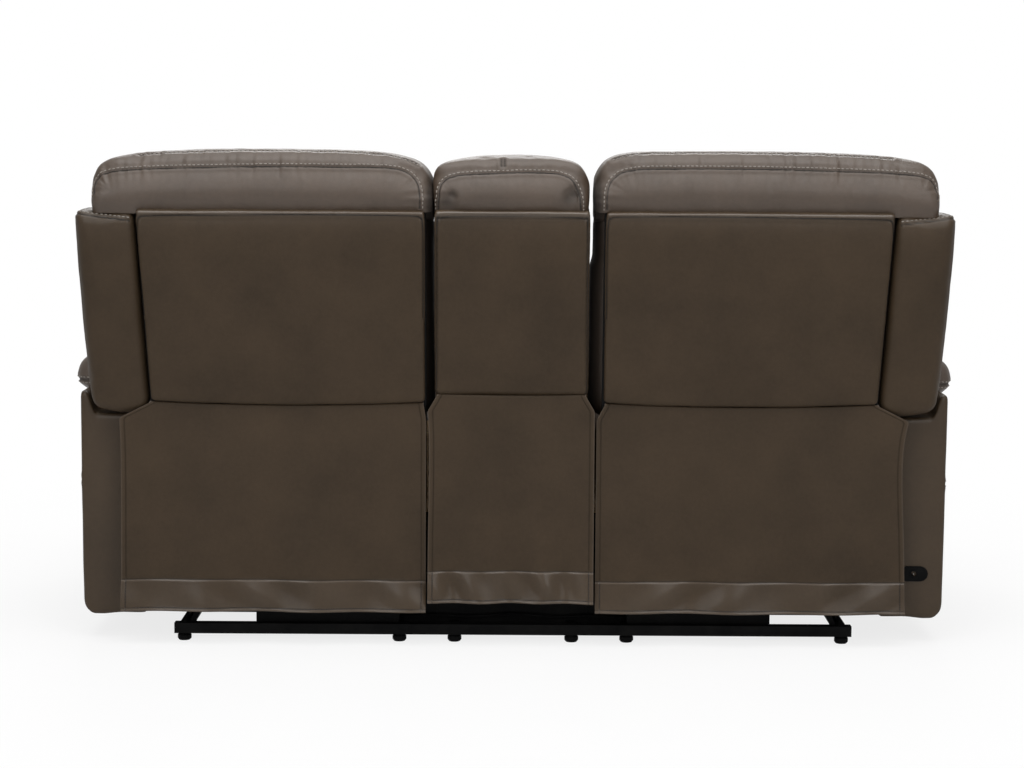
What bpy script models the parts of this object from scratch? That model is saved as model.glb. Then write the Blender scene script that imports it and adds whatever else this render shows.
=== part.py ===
"""Power reclining console loveseat: two reclining seats with a storage console between them.

Metres, +Z up. The front faces -Y and +X is the sitter's left. The floor is z = 0.
"""

import math

import bmesh
import bpy
from mathutils import Matrix, Vector

# Clearances
TOUCH = 0.0003
RUNNING = 0.0005
REVEAL = 0.004
WELD = 0.001

# Plan: console in the middle, then a seat, then an arm on each side
CONSOLE_WIDTH = 0.350
SEAT_WIDTH = 0.663
ARM_WIDTH = 0.145
ARM_LENGTH = 0.900
ARM_REAR = 0.385
ARM_FRONT = ARM_REAR - ARM_LENGTH
SEAT_SETBACK = 0.040
SEAT_FRONT = ARM_FRONT + SEAT_SETBACK

# Heights and edges of the arms and seats
ARM_EDGE = 0.0045
ARM_BOTTOM = 0.059
ARM_DECK = 0.522
ARM_TOP = 0.548
ARM_PAD_HEIGHT = 0.097
ARM_PAD_OVERHANG = 0.033
ARM_PAD_PROUD = 0.015
ARM_PAD_STOP = 0.080
ARM_PAD_FRONT = ARM_FRONT - ARM_PAD_PROUD
ARM_PAD_REAR = ARM_REAR - ARM_PAD_STOP
ARM_PAD_ROUND = 0.042
ARM_PAD_CROWN = 0.010
DECK_BOTTOM = 0.300
DECK_THICKNESS = 0.020
SEAT_CUSHION_HEIGHT = 0.191
SEAT_CUSHION_CROWN = 0.012
SEAT_CUSHION_ROUND = 0.050
SEAT_CUSHION_DRAW = 0.004
SEAT_CUSHION_STOP = 0.100
SEAT_CUSHION_REAR = ARM_REAR - SEAT_CUSHION_STOP
DECK_SETBACK = 0.020
DECK_FRONT = SEAT_FRONT + DECK_SETBACK
DECK_REAR = ARM_REAR + DECK_SETBACK / 2

# Back, in a frame whose origin is the recline hinge and whose up axis leans with the back
HINGE_Y = ARM_REAR
HINGE_Z = 0.490
BACK_LEAN = math.radians(8.0)
BACK_BOTTOM = 0.074
BACK_TOP = 0.5072
BACK_REAR = 0.0522
PANEL_THICKNESS = 0.0194
FRAME_THICKNESS = 0.0425
PANEL_INSET = 0.0247
PANEL_TAPER = 0.020
WING_WIDTH = 0.128
WING_DEPTH = 0.108
WING_SETBACK = 0.015
WING_LIFT = 0.016
WING_BOTTOM = ARM_DECK - HINGE_Z + WING_LIFT
WING_ROUND = 0.030
WING_CROWN = 0.008
BACK_CUSHION_DEPTH = 0.165
BACK_CUSHION_BOTTOM = 0.015
BACK_CUSHION_ROUND = 0.045
BACK_CUSHION_CROWN = 0.012
BACK_CUSHION_STEP = 0.040
BACK_CHANNEL_DEPTH = 0.016
BACK_CHANNEL_PLACES = (-0.30, 0.35)
BACK_CHANNEL_SPREAD = 0.12
HEADREST_INSET = 0.005
HEADREST_HEIGHT = 0.114
HEADREST_DEPTH = 0.2048
HEADREST_OVERHANG = 0.0080
HEADREST_REACH = 0.096
HEADREST_CROWN = 0.009
HEADREST_ROUND = 0.054
HEADREST_DRAW = 0.008
HEADREST_TUCK = 0.08
HEADREST_SIDE = 0.86

# Leather flaps that hang from the back seam
FLAP_THICKNESS = 0.004
FLAP_BEAD = 0.004
FLAP_BOTTOM = 0.078
FLAP_SHOULDER_DROP = 0.035
FLAP_SHOULDER_WIDTH = 0.070
FLAP_FOLD = 0.006
FLAP_FOLDS = 3
FLAP_LAG = 0.6
CONSOLE_FLAP_BOTTOM = 0.102
CONSOLE_FLAP_FLARE = 0.0205
CONSOLE_SEAM_RISE = 0.022

# Steel base
TUBE = 0.024
FOOT_HEIGHT = 0.016
FOOT_RADIUS = 0.016
FOOT_SETBACK = 0.125
FOOT_OVERHANG = 0.005
FOOT_FRONT = ARM_FRONT + FOOT_SETBACK
FOOT_REAR = ARM_REAR + FOOT_OVERHANG
BASE_SPAN = 0.493
RAIL_OVERRUN = 0.022
PLATE_THICKNESS = 0.006
PLATE_SETBACK = 0.030
PLATE_FRONT = FOOT_FRONT + PLATE_SETBACK
PLATE_REAR = FOOT_REAR - 2 * PLATE_SETBACK
CONSOLE_BASE_SPAN = 0.268
GUARD_THICKNESS = 0.006
GUARD_TOP = 0.066
GUARD_REACH = 0.083
CONSOLE_GUARD_TOP = 0.082

# Hinge brackets and lugs between the deck and the back
BRACKET_THICKNESS = 0.006
HINGE_PIN_RADIUS = 0.006
LUG_RADIUS = 0.018

# Footrest linkage, side view
LINK_LENGTH = 0.195
LINK_WIDTH = 0.024
LINK_THICKNESS = 0.005
LINK_PIN_RADIUS = 0.005
LINK_PIVOT_Y = ARM_FRONT + LINK_LENGTH
LINK_PIVOT_Z = 0.272
LINK_FOLD = math.radians(75.0)
TORQUE_TUBE_RADIUS = 0.014
TIE_RADIUS = 0.008
CRANK_LENGTH = 0.060
CRANK_SWING = math.radians(80.0)
CRANK_WIDTH = 0.016
FOOTREST_PROUD = 0.0197
FOOTREST_FRONT = ARM_FRONT - FOOTREST_PROUD
FOOTREST_THICKNESS = 0.0472
FOOTREST_BOTTOM = 0.092
FOOTREST_HEIGHT = 0.328
FOOTREST_SIDE_GAP = 0.010
FOOTREST_ROUND = 0.020
FOOTREST_CROWN = 0.006
FOOTREST_BRACKET = 0.060

# Actuator and drive block
DRIVE_RAIL_WIDTH = 0.030
DRIVE_RAIL_HEIGHT = 0.025
DRIVE_RAIL_REACH = 0.080
DRIVE_RAIL_FRONT = LINK_PIVOT_Y - DRIVE_RAIL_REACH
DRIVE_BLOCK_LENGTH = 0.050
DRIVE_BLOCK_WALL = 0.0115
DRIVE_BLOCK_CAP = 0.0465
MOTOR_RADIUS = 0.036
MOTOR_INBOARD = 0.040
MOTOR_OUTBOARD = 0.093
MOTOR_Z = 0.062
GEARBOX = 0.070
MOTOR_Y = PLATE_REAR - GEARBOX
DRIVE_POST = 0.020
DRIVE_POST_GAP = 0.090
DRIVE_POST_FRONT = LINK_PIVOT_Y + DRIVE_POST
DRIVE_POST_REAR = MOTOR_Y - DRIVE_POST_GAP
STRUT_WIDTH = 0.014
STRUT_DEPTH = 0.012
STRUT_FOOT_INSET = 0.010
STRUT_RUN = 0.120

# Console
CONSOLE_FRONT = ARM_FRONT
CONSOLE_STOP = 0.050
CONSOLE_REAR = ARM_REAR - CONSOLE_STOP
CONSOLE_TOP = 0.575
CONSOLE_SHIFT = 0.0065
CONSOLE_BACK_WIDTH = 0.342
CONSOLE_CUSHION_HEIGHT = 0.106
CONSOLE_CUSHION_DEPTH = 0.1602
BIN_WALL = 0.035
BIN_SETBACK = 0.345
BIN_STOP = 0.125
BIN_FRONT = CONSOLE_FRONT + BIN_SETBACK
BIN_REAR = CONSOLE_REAR - BIN_STOP
BIN_FLOOR = 0.300
LID_LAP = 0.060
LID_FRONT = BIN_FRONT - LID_LAP
LID_HINGE_Y = BIN_REAR + BIN_WALL
LID_THICKNESS = 0.065
LID_ROUND = 0.024
LID_CROWN = 0.008
CUP_RADIUS = 0.046
CUP_DEPTH = 0.075
CUP_WALL = 0.002
CUP_FLANGE = 0.007
CUP_SPACING = 0.150
CUP_SETBACK = 0.145
CUP_Y = CONSOLE_FRONT + CUP_SETBACK

# Controls and power inlet
CONTROL_LENGTH = 0.090
CONTROL_HEIGHT = 0.040
CONTROL_THICKNESS = 0.006
CONTROL_SETBACK = 0.415
CONTROL_Y = CONSOLE_FRONT + CONTROL_SETBACK
CONTROL_Z = 0.545
ROCKER_LENGTH = 0.026
ROCKER_HEIGHT = 0.018
ROCKER_DEPTH = 0.0065
ROCKER_CLEARANCE = 0.0007
INLET_INSET = 0.0676
INLET_Z = 0.1615
INLET_LENGTH = 0.066
INLET_HEIGHT = 0.035
INLET_THICKNESS = 0.004
INLET_JACK_RADIUS = 0.0065
LEAD_RADIUS = 0.003
LEAD_STEP = 0.012

# Places that follow from the sizes above
SEAT_IN = CONSOLE_WIDTH / 2 + TOUCH
SEAT_OUT = SEAT_IN + SEAT_WIDTH
SEAT_MID = (SEAT_IN + SEAT_OUT) / 2
ARM_IN = SEAT_OUT + TOUCH
ARM_OUT = ARM_IN + ARM_WIDTH
DECK_TOP = DECK_BOTTOM + DECK_THICKNESS
BASE_HALF = BASE_SPAN / 2
RAIL_BOTTOM = FOOT_HEIGHT + TOUCH
RAIL_TOP = RAIL_BOTTOM + TUBE
FRAME_REAR = BACK_REAR - PANEL_THICKNESS - TOUCH
FRAME_FRONT = FRAME_REAR - FRAME_THICKNESS
PANEL_IN = SEAT_IN + PANEL_INSET
CONSOLE_FLAP_HALF = CONSOLE_BACK_WIDTH / 2 - REVEAL + CONSOLE_FLAP_FLARE
BRACKET_IN = CONSOLE_SHIFT + CONSOLE_FLAP_HALF + REVEAL
BRACKET_OUT = SEAT_OUT - PANEL_TAPER - REVEAL
LINK_OUTER = BASE_HALF - PLATE_THICKNESS / 2 - RUNNING
LINK_INNER = LINK_OUTER - LINK_THICKNESS - RUNNING
CRANK_TIP_LOW = LINK_PIVOT_Z - CRANK_LENGTH - CRANK_WIDTH / 2
DRIVE_BLOCK_TOP = CRANK_TIP_LOW - 2 * RUNNING
DRIVE_RAIL_TOP = DRIVE_BLOCK_TOP - DRIVE_BLOCK_CAP
FLAP_AXIS_Y = BACK_REAR - PANEL_THICKNESS / 2
FLAP_AXIS_Z = BACK_BOTTOM - TOUCH - FLAP_BEAD
INLET_X = INLET_INSET - ARM_OUT
LEAD_Y = FOOT_REAR - TUBE / 2 - 7 * LEAD_RADIUS
LEAD_Z = RAIL_TOP + 3 * LEAD_RADIUS
GUARD_REAR = LEAD_Y - LEAD_RADIUS - 2 * REVEAL
GUARD_FRONT = GUARD_REAR - GUARD_THICKNESS
CONSOLE_OVERRUN = SEAT_MID - BASE_HALF - RAIL_OVERRUN - TOUCH - CONSOLE_BASE_SPAN / 2
BACK_TO_WORLD = Matrix.Translation((0, HINGE_Y, HINGE_Z)) @ Matrix.Rotation(-BACK_LEAN, 4, "X")


def finish(name, colour, roughness, metallic=0.0):
    """A Principled material."""
    made = bpy.data.materials.new(name)
    made.use_nodes = True
    shader = made.node_tree.nodes["Principled BSDF"]
    shader.inputs["Base Color"].default_value = (*colour, 1.0)
    shader.inputs["Roughness"].default_value = roughness
    shader.inputs["Metallic"].default_value = metallic
    return made


def closed(points_rings, caps=True):
    """Rings of equal length joined in order into one shape, with flat end caps."""
    bm = bmesh.new()
    rings = [[bm.verts.new(p) for p in ring] for ring in points_rings]
    count = len(rings[0])
    for low, high in zip(rings, rings[1:]):
        for i in range(count):
            j = (i + 1) % count
            bm.faces.new((low[i], low[j], high[j], high[i]))
    if caps:
        bm.faces.new(rings[0])
        bm.faces.new(rings[-1])
    bmesh.ops.recalc_face_normals(bm, faces=bm.faces)
    if bm.calc_volume(signed=True) < 0:
        bmesh.ops.reverse_faces(bm, faces=bm.faces)
    return bm


def block(x, y, z):
    """A box between the pairs x, y and z."""
    corners = [(x[0], y[0]), (x[1], y[0]), (x[1], y[1]), (x[0], y[1])]
    return closed([[(a, b, c) for a, b in corners] for c in z])


def plate(x, outline):
    """An outline of (y, z) points, extruded between the two x values."""
    return closed([[(a, b, c) for b, c in outline] for a in x])


def slab(y, outline):
    """An outline of (x, z) points, extruded between the two y values."""
    return closed([[(a, b, c) for a, c in outline] for b in y])


def rod(x, centre, radius, sides=14):
    """A round bar along X about the (y, z) centre."""
    turn = [2 * math.pi * i / sides for i in range(sides)]
    ring = [(centre[0] + radius * math.cos(t), centre[1] + radius * math.sin(t)) for t in turn]
    return plate(x, ring)


def turned(centre, profile, sides=16):
    """A solid of revolution about Z: (radius, z) points from the bottom up, closed by flat discs."""
    x, y = centre
    turn = [2 * math.pi * i / sides for i in range(sides)]
    rings = [[(x + r * math.cos(t), y + r * math.sin(t), z) for t in turn] for r, z in profile]
    return closed(rings)


def stadium(length, height, sides=6):
    """Outline of a bar with round ends, centred on 0, 0."""
    radius = height / 2
    points = []
    for end, first in ((1, -math.pi / 2), (-1, math.pi / 2)):
        for i in range(sides + 1):
            t = first + math.pi * i / sides
            points.append((end * (length / 2 - radius) + radius * math.cos(t), radius * math.sin(t)))
    return points


def cushion(low, high, radius, along=0, form=None, stations=4, edge=2):
    """A stuffed block with round edges between two corners, lofted along one axis.

    form takes a point and its place in the block, each part from -1 to 1, and returns the point moved.
    """
    axes = [along, (along + 1) % 3, (along + 2) % 3]
    low, high = Vector(low), Vector(high)
    half = (high - low) / 2
    middle = (high + low) / 2
    length, wide, tall = (half[a] for a in axes)
    arcs = [math.radians(a) for a in (20, 55, 90)]
    steps = [(length - radius + radius * math.cos(t), radius - radius * math.sin(t)) for t in arcs]
    span = length - radius
    inner = [(span * (1 - 2 * (i + 1) / (stations + 1)), 0.0) for i in range(stations)]
    places = steps + inner + [(-a, inset) for a, inset in reversed(steps)]
    rings = []
    for a, inset in places:
        ring = []
        bend = radius - inset
        for p in rounded_ring(wide - inset, tall - inset, bend, edge):
            point = Vector((0, 0, 0))
            point[axes[0]], point[axes[1]], point[axes[2]] = a, p[0], p[1]
            place = Vector([point[i] / half[i] for i in range(3)])
            point = point + middle
            ring.append(form(point, place) if form else point)
        rings.append(ring)
    return closed(rings)


def eased(bm, width, steps=2):
    """The shape with its sharp edges rounded."""
    edges = [e for e in bm.edges if e.calc_face_angle(0.0) > math.radians(30)]
    bmesh.ops.bevel(bm, geom=edges, offset=width, segments=steps, profile=0.5, affect="EDGES")
    return bm


def rounded_ring(wide, tall, bend, edge):
    """A rectangle's outline with round corners and some points along each side."""
    ring = []
    corners = [(1, 1, 0), (-1, 1, 90), (-1, -1, 180), (1, -1, 270)]
    for n, (sx, sy, first) in enumerate(corners):
        centre = (sx * (wide - bend), sy * (tall - bend))
        arc = [math.radians(first + step) for step in (0, 45, 90)]
        points = [(centre[0] + bend * math.cos(t), centre[1] + bend * math.sin(t)) for t in arc]
        ring += points
        nx, ny, _ = corners[(n + 1) % 4]
        last = points[-1]
        turn = math.radians(first + 90)
        end = (nx * (wide - bend) + bend * math.cos(turn), ny * (tall - bend) + bend * math.sin(turn))
        for i in range(edge):
            share = (i + 1) / (edge + 1)
            ring.append((last[0] + (end[0] - last[0]) * share, last[1] + (end[1] - last[1]) * share))
    return ring


def as_object(bm, name):
    mesh = bpy.data.meshes.new(name)
    bm.to_mesh(mesh)
    bm.free()
    thing = bpy.data.objects.new(name, mesh)
    bpy.context.scene.collection.objects.link(thing)
    return thing


def solid(name, material, adds, cuts=(), origin=(0, 0, 0), parent=None):
    """One named piece: the first shape joined with the others, less the cuts, turning about its origin."""
    thing = as_object(adds[0], name)
    tools = [("UNION", shape) for shape in adds[1:]] + [("DIFFERENCE", shape) for shape in cuts]
    helpers = []
    for operation, shape in tools:
        helper = as_object(shape, name + "_tool")
        modifier = thing.modifiers.new(operation, "BOOLEAN")
        modifier.operation = operation
        modifier.object = helper
        helpers.append(helper)
    if helpers:
        graph = bpy.context.evaluated_depsgraph_get()
        joined = bpy.data.meshes.new_from_object(thing.evaluated_get(graph))
        thing.modifiers.clear()
        thing.data = joined
        for helper in helpers:
            bpy.data.objects.remove(helper)
    thing.data.name = name
    thing.data.transform(Matrix.Translation(-Vector(origin)))
    thing.location = origin
    thing.parent = parent
    thing.data.materials.clear()
    thing.data.materials.append(material)
    thing.data.shade_smooth()
    thing.data.set_sharp_from_angle(angle=math.radians(40))
    return thing


def empty(name, matrix):
    made = bpy.data.objects.new(name, None)
    bpy.context.scene.collection.objects.link(made)
    made.matrix_world = matrix
    return made


def pair(side, *values):
    """The values mirrored to one side of the loveseat."""
    return tuple(side * v for v in values)


def turned_about(centre, angle, reach):
    """The (y, z) point at an angle above straight ahead from a centre."""
    return (centre[0] - reach * math.cos(angle), centre[1] + reach * math.sin(angle))


def bar(start, end, width):
    """Outline of a flat link with round ends between two (y, z) points."""
    across = math.atan2(end[1] - start[1], end[0] - start[0])
    points = []
    for centre, first in ((end, across - math.pi / 2), (start, across + math.pi / 2)):
        for i in range(5):
            t = first + math.pi * i / 4
            points.append((centre[0] + width / 2 * math.cos(t), centre[1] + width / 2 * math.sin(t)))
    return points


def leaned(y, z):
    """World (y, z) of a point in the back's own frame."""
    point = BACK_TO_WORLD @ Vector((0, y, z))
    return (point.y, point.z)


def foot(name, x, y):
    profile = [
        (FOOT_RADIUS * 0.8, 0.0),
        (FOOT_RADIUS, FOOT_HEIGHT * 0.25),
        (FOOT_RADIUS, FOOT_HEIGHT * 0.75),
        (FOOT_RADIUS * 0.7, FOOT_HEIGHT),
    ]
    solid(name, PLASTIC, [turned((0, 0), profile, 12)]).location = (x, y, 0)


def rail_frame(mid, half_span, overrun):
    """Four tubes of a base: rails across at the front and the rear, and one along each side."""
    half = TUBE / 2
    across = (mid - half_span - overrun, mid + half_span + overrun)
    shapes = []
    for y in (FOOT_FRONT, FOOT_REAR):
        shapes.append(block(across, (y - half, y + half), (RAIL_BOTTOM, RAIL_TOP)))
    for x in (mid - half_span, mid + half_span):
        height = (RAIL_BOTTOM + WELD, RAIL_TOP - WELD)
        shapes.append(block((x - half + WELD, x + half - WELD), (FOOT_FRONT, FOOT_REAR), height))
    return shapes


def seat_base(tag, side):
    """Base frame with the side plates of the mechanism, cross rails, rear strut and rear guard plates."""
    mid = side * SEAT_MID
    half = TUBE / 2
    shapes = rail_frame(mid, BASE_HALF, RAIL_OVERRUN)
    for y in (DRIVE_POST_FRONT, DRIVE_POST_REAR):
        across = (mid - BASE_HALF, mid + BASE_HALF)
        shapes.append(block(across, (y - half, y + half), (RAIL_BOTTOM + 2 * WELD, RAIL_TOP - 2 * WELD)))
    for s in (-1, 1):
        x = mid + s * BASE_HALF
        wide = (x - PLATE_THICKNESS / 2, x + PLATE_THICKNESS / 2)
        shapes.append(block(wide, (PLATE_FRONT, PLATE_REAR), (RAIL_TOP - half, DECK_BOTTOM - TOUCH)))
        pin = (x, mid + s * (LINK_INNER - 3 * LINK_THICKNESS))
        shapes.append(rod(pin, LINK_PIVOT, HINGE_PIN_RADIUS))
    shoulder = mid + side * (BASE_HALF - STRUT_FOOT_INSET)
    top = shoulder - side * STRUT_RUN
    low, high = RAIL_TOP - 4 * WELD, DECK_BOTTOM - TOUCH
    wide = side * STRUT_WIDTH
    outline = [(shoulder, low), (shoulder - wide, low), (top - wide, high), (top, high)]
    depth = (FOOT_REAR - half - STRUT_DEPTH + 4 * WELD, FOOT_REAR - half + 4 * WELD)
    shapes.append(slab(depth, outline))
    inner, turn = SEAT_IN + TOUCH, SEAT_MID - BASE_HALF
    end = turn + 2 * TUBE
    low, high = RAIL_BOTTOM + 4 * WELD, DECK_BOTTOM - TOUCH
    corners = [(inner, low), (end, low), (end, GUARD_TOP), (turn, GUARD_TOP), (turn, high), (inner, high)]
    shapes.append(slab((GUARD_FRONT, GUARD_REAR), [(side * x, z) for x, z in corners]))
    depth = (FOOT_REAR - half - GUARD_THICKNESS, FOOT_REAR - half + WELD)
    shapes.append(block(pair(side, turn + WELD, SEAT_MID + GUARD_REACH), depth, (low, GUARD_TOP)))
    solid(tag + "_seat_base", STEEL, shapes)
    for n, s in (("inner", -side), ("outer", side)):
        for end, y in (("front", FOOT_FRONT), ("rear", FOOT_REAR)):
            foot(f"{tag}_{end}_{n}_foot", mid + s * BASE_HALF, y)


def seat_deck(tag, side):
    """Deck panel with the two hinge brackets of the back and their pins."""
    span = pair(side, SEAT_IN, SEAT_OUT)
    shapes = [block(span, (DECK_FRONT, DECK_REAR), (DECK_BOTTOM, DECK_TOP))]
    for inner, turn in ((BRACKET_IN, 1), (BRACKET_OUT, -1)):
        outer = inner - turn * BRACKET_THICKNESS
        outline = [
            (SEAT_CUSHION_REAR + 2 * REVEAL, DECK_TOP - DECK_THICKNESS / 2),
            (DECK_REAR - REVEAL, DECK_TOP - DECK_THICKNESS / 2),
            (HINGE_Y + LUG_RADIUS, HINGE_Z - LUG_RADIUS / 2),
            (HINGE_Y + LUG_RADIUS / 2, HINGE_Z + LUG_RADIUS),
            (HINGE_Y - LUG_RADIUS / 2, HINGE_Z + LUG_RADIUS),
            (HINGE_Y - LUG_RADIUS, HINGE_Z - LUG_RADIUS / 2),
        ]
        shapes.append(plate(pair(side, outer, inner), outline))
        pin = (inner - turn * WELD, inner + turn * BRACKET_THICKNESS)
        shapes.append(rod(pair(side, *pin), (HINGE_Y, HINGE_Z), HINGE_PIN_RADIUS))
    solid(tag + "_seat_deck", PLYWOOD, shapes)


def seat_cushion(tag, side):
    low = (SEAT_IN + REVEAL, SEAT_FRONT, DECK_TOP + TOUCH)
    high = (SEAT_OUT - REVEAL, SEAT_CUSHION_REAR, DECK_TOP + TOUCH + SEAT_CUSHION_HEIGHT)

    def form(point, place):
        top = max(place.z, 0.0)
        swell = (1 - place.x ** 2) * (1 - place.y ** 2)
        draw = SEAT_CUSHION_DRAW * place.x * (1 - place.y ** 2) * (1 - place.z ** 2)
        return Vector((side * (point.x - draw), point.y, point.z + SEAT_CUSHION_CROWN * top * swell))

    solid(tag + "_seat_cushion", LEATHER, [cushion(low, high, SEAT_CUSHION_ROUND, form=form, edge=3)])


def outer_edge(z):
    """The slanting outer edge of the back frame at a height in the back's own frame."""
    share = (z - BACK_BOTTOM) / (BACK_TOP - BACK_BOTTOM)
    return SEAT_OUT + TOUCH - PANEL_TAPER * (1 - share)


def reclining_back(tag, side):
    """Frame with hinge lugs, rear panel, wing, front cushion and headrest, all on the recline hinge."""
    hinge = empty(tag + "_recline_hinge", BACK_TO_WORLD)
    inner = BRACKET_IN + TOUCH
    base = BACK_BOTTOM - 3 * REVEAL
    top = BACK_TOP
    outline = [(inner, base), (outer_edge(base), base), (outer_edge(top), top), (inner, top)]
    outline = [(side * x, z) for x, z in outline]
    shapes = [slab((FRAME_FRONT, FRAME_REAR), outline)]
    lug = [(LUG_RADIUS * math.cos(t), LUG_RADIUS * math.sin(t)) for t in lug_angles()]
    lug += [(FRAME_REAR - WELD, BACK_BOTTOM + WELD), (FRAME_FRONT + WELD, BACK_BOTTOM + WELD)]
    holes = []
    for start, turn in ((inner, 1), (BRACKET_OUT - TOUCH, -1)):
        wide = pair(side, start, start + turn * BRACKET_THICKNESS)
        shapes.append(plate(wide, lug))
        hole = pair(side, start - turn * REVEAL, start + turn * (BRACKET_THICKNESS + REVEAL))
        holes.append(rod(hole, (0, 0), HINGE_PIN_RADIUS + RUNNING))
    solid(tag + "_back_frame", PLYWOOD, shapes, holes, parent=hinge)
    back_panel(tag, side, hinge)
    wing(tag, side, hinge)
    back_cushion(tag, side, hinge)
    headrest(tag, side, hinge)


def lug_angles():
    """Directions round the lower half of a hinge lug."""
    return [math.radians(180 + 30 * i) for i in range(7)]


def back_panel(tag, side, hinge):
    low = (PANEL_IN, FRAME_REAR + TOUCH, BACK_BOTTOM)
    high = (SEAT_OUT, BACK_REAR, BACK_TOP)

    def form(point, place):
        share = (point.x - low[0]) / (high[0] - low[0])
        x = point.x - share * (SEAT_OUT + REVEAL / 4 - outer_edge(point.z))
        return Vector((side * x, point.y, point.z))

    shape = cushion(low, high, PANEL_THICKNESS * 0.45, form=form, edge=1)
    solid(tag + "_back_panel", LEATHER, [shape], parent=hinge)


def wing(tag, side, hinge):
    """Side bolster that stands behind and above the arm, slanting in with the edge of the back."""
    rear = BACK_REAR - WING_SETBACK
    low = (0.0, rear - WING_DEPTH, WING_BOTTOM)
    high = (WING_WIDTH, rear, BACK_TOP - 2 * REVEAL)

    def form(point, place):
        swell = (1 - place.x ** 2) * (1 - place.z ** 2)
        x = outer_edge(point.z) + TOUCH + point.x
        y = point.y + WING_CROWN * place.y * swell
        return Vector((side * x, y, point.z))

    solid(tag + "_wing", LEATHER, [cushion(low, high, WING_ROUND, along=2, form=form)], parent=hinge)


def back_cushion(tag, side, hinge):
    """Front cushion with two sewn channels; its lower part fits between the arm pad and the console."""
    rear = FRAME_FRONT - TOUCH
    low = (SEAT_IN + HEADREST_INSET, rear - BACK_CUSHION_DEPTH, BACK_CUSHION_BOTTOM)
    high = (SEAT_OUT - REVEAL, rear, BACK_TOP - TOUCH)
    arm_line = ARM_TOP + ARM_PAD_HEIGHT - HINGE_Z + 3 * REVEAL
    beside_arm = ARM_IN - ARM_PAD_OVERHANG - REVEAL

    def form(point, place):
        front = max(-place.y, 0.0)
        swell = (1 - place.x ** 2) * (1 - place.z ** 2)
        channels = sum(math.exp(-((place.z - z) / BACK_CHANNEL_SPREAD) ** 2) for z in BACK_CHANNEL_PLACES)
        channel = BACK_CHANNEL_DEPTH * channels * (1 - place.x ** 8)
        y = point.y - front * (BACK_CUSHION_CROWN * swell - channel)
        lower = min(max((arm_line - point.z) / BACK_CUSHION_STEP + 1, 0.0), 1.0)
        share = (point.x - low[0]) / (high[0] - low[0])
        beside_wing = outer_edge(point.z) - REVEAL
        edge = beside_wing + (min(beside_arm, beside_wing) - beside_wing) * lower
        return Vector((side * (low[0] + share * (edge - low[0])), y, point.z))

    shape = cushion(low, high, BACK_CUSHION_ROUND, along=2, form=form, stations=9, edge=3)
    solid(tag + "_back_cushion", LEATHER, [shape], parent=hinge)


def headrest(tag, side, hinge):
    low = (SEAT_IN + HEADREST_INSET, BACK_REAR + HEADREST_OVERHANG - HEADREST_DEPTH, BACK_TOP + TOUCH)
    high = (SEAT_OUT + HEADREST_REACH, BACK_REAR + HEADREST_OVERHANG, BACK_TOP + TOUCH + HEADREST_HEIGHT)
    shape = top_cushion(low, high, side)
    solid(tag + "_headrest", LEATHER, [shape], parent=hinge)


def top_cushion(low, high, side):
    """Pillow with a crown and round shoulders, its straight sides running down to the seam below it."""
    height = high[2] - low[2]
    depth = high[1] - low[1]
    fold = -1 + 2 * HEADREST_ROUND / height

    def form(point, place):
        upper = max(place.z, 0.0)
        crown = HEADREST_CROWN * upper * (1 - place.x ** 4) * (1 - place.y ** 2)
        if place.z < fold:
            z = -1 + (place.z + 1) / (fold + 1) * (1 - HEADREST_SIDE)
        else:
            z = -HEADREST_SIDE + (place.z - fold) / (1 - fold) * (1 + HEADREST_SIDE)
        tuck = HEADREST_TUCK * depth * max(-z, 0.0) ** 2 * place.y
        draw = HEADREST_DRAW * place.x * z ** 2
        level = low[2] + (z + 1) / 2 * height
        return Vector((side * (point.x - draw), point.y - tuck, level + crown))

    return cushion(low, high, HEADREST_ROUND, form=form, stations=5, edge=2)


def flap(name, inner, outer, axis, bottom, side, lag):
    """Leather sheet that hangs from a bead, wider below its shoulders, with soft folds towards the hem.

    inner and outer are the x values at the bead and below the shoulder.
    """
    columns, rows = 14, 5
    shoulder = axis[1] - FLAP_SHOULDER_DROP
    bead = [math.radians(a) for a in (75, 30, -15)]
    levels = [(axis[1] + FLAP_BEAD * math.sin(t), FLAP_BEAD * math.cos(t)) for t in bead]
    levels += [(shoulder + (bottom - shoulder) * i / rows, FLAP_THICKNESS / 2) for i in range(rows + 1)]
    rings = []
    for i in range(columns + 1):
        u = i / columns
        front, rear = [], []
        for z, half in levels:
            drop = min(max((axis[1] - z) / FLAP_SHOULDER_DROP, 0.0), 1.0)
            v = max((shoulder - z) / (shoulder - bottom), 0.0)
            a = inner[0] + (inner[1] - inner[0]) * drop
            b = outer[0] + (outer[1] - outer[0]) * drop
            x = side * (a + (b - a) * u)
            y = axis[0] + FLAP_FOLD * v ** 2 * math.sin(2 * math.pi * FLAP_FOLDS * u + lag)
            front.append((x, y - half, z))
            rear.append((x, y + half, z))
        rings.append(front + rear[::-1])
    return solid(name, LEATHER, [closed(rings)], origin=(0, *axis))


def seat_flap(tag, side):
    axis = leaned(FLAP_AXIS_Y, FLAP_AXIS_Z)
    inner = (PANEL_IN + REVEAL, CONSOLE_SHIFT * side + CONSOLE_FLAP_HALF + REVEAL)
    outer = (SEAT_OUT - PANEL_TAPER, SEAT_OUT - PANEL_TAPER + FLAP_SHOULDER_WIDTH)
    flap(tag + "_flap", inner, outer, axis, FLAP_BOTTOM, side, FLAP_LAG * side)


def link_pair(name, mid, half, start, end, shapes=(), cuts=()):
    """Two flat links, one at each side of the seat, with their outer faces at half from its middle."""
    outline = bar(start, end, LINK_WIDTH)
    links = []
    for s in (-1, 1):
        wide = (mid + s * (half - LINK_THICKNESS), mid + s * half)
        links.append(plate(wide, outline))
    return solid(name, STEEL, [*links, *shapes], cuts, origin=(mid, *start))


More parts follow.
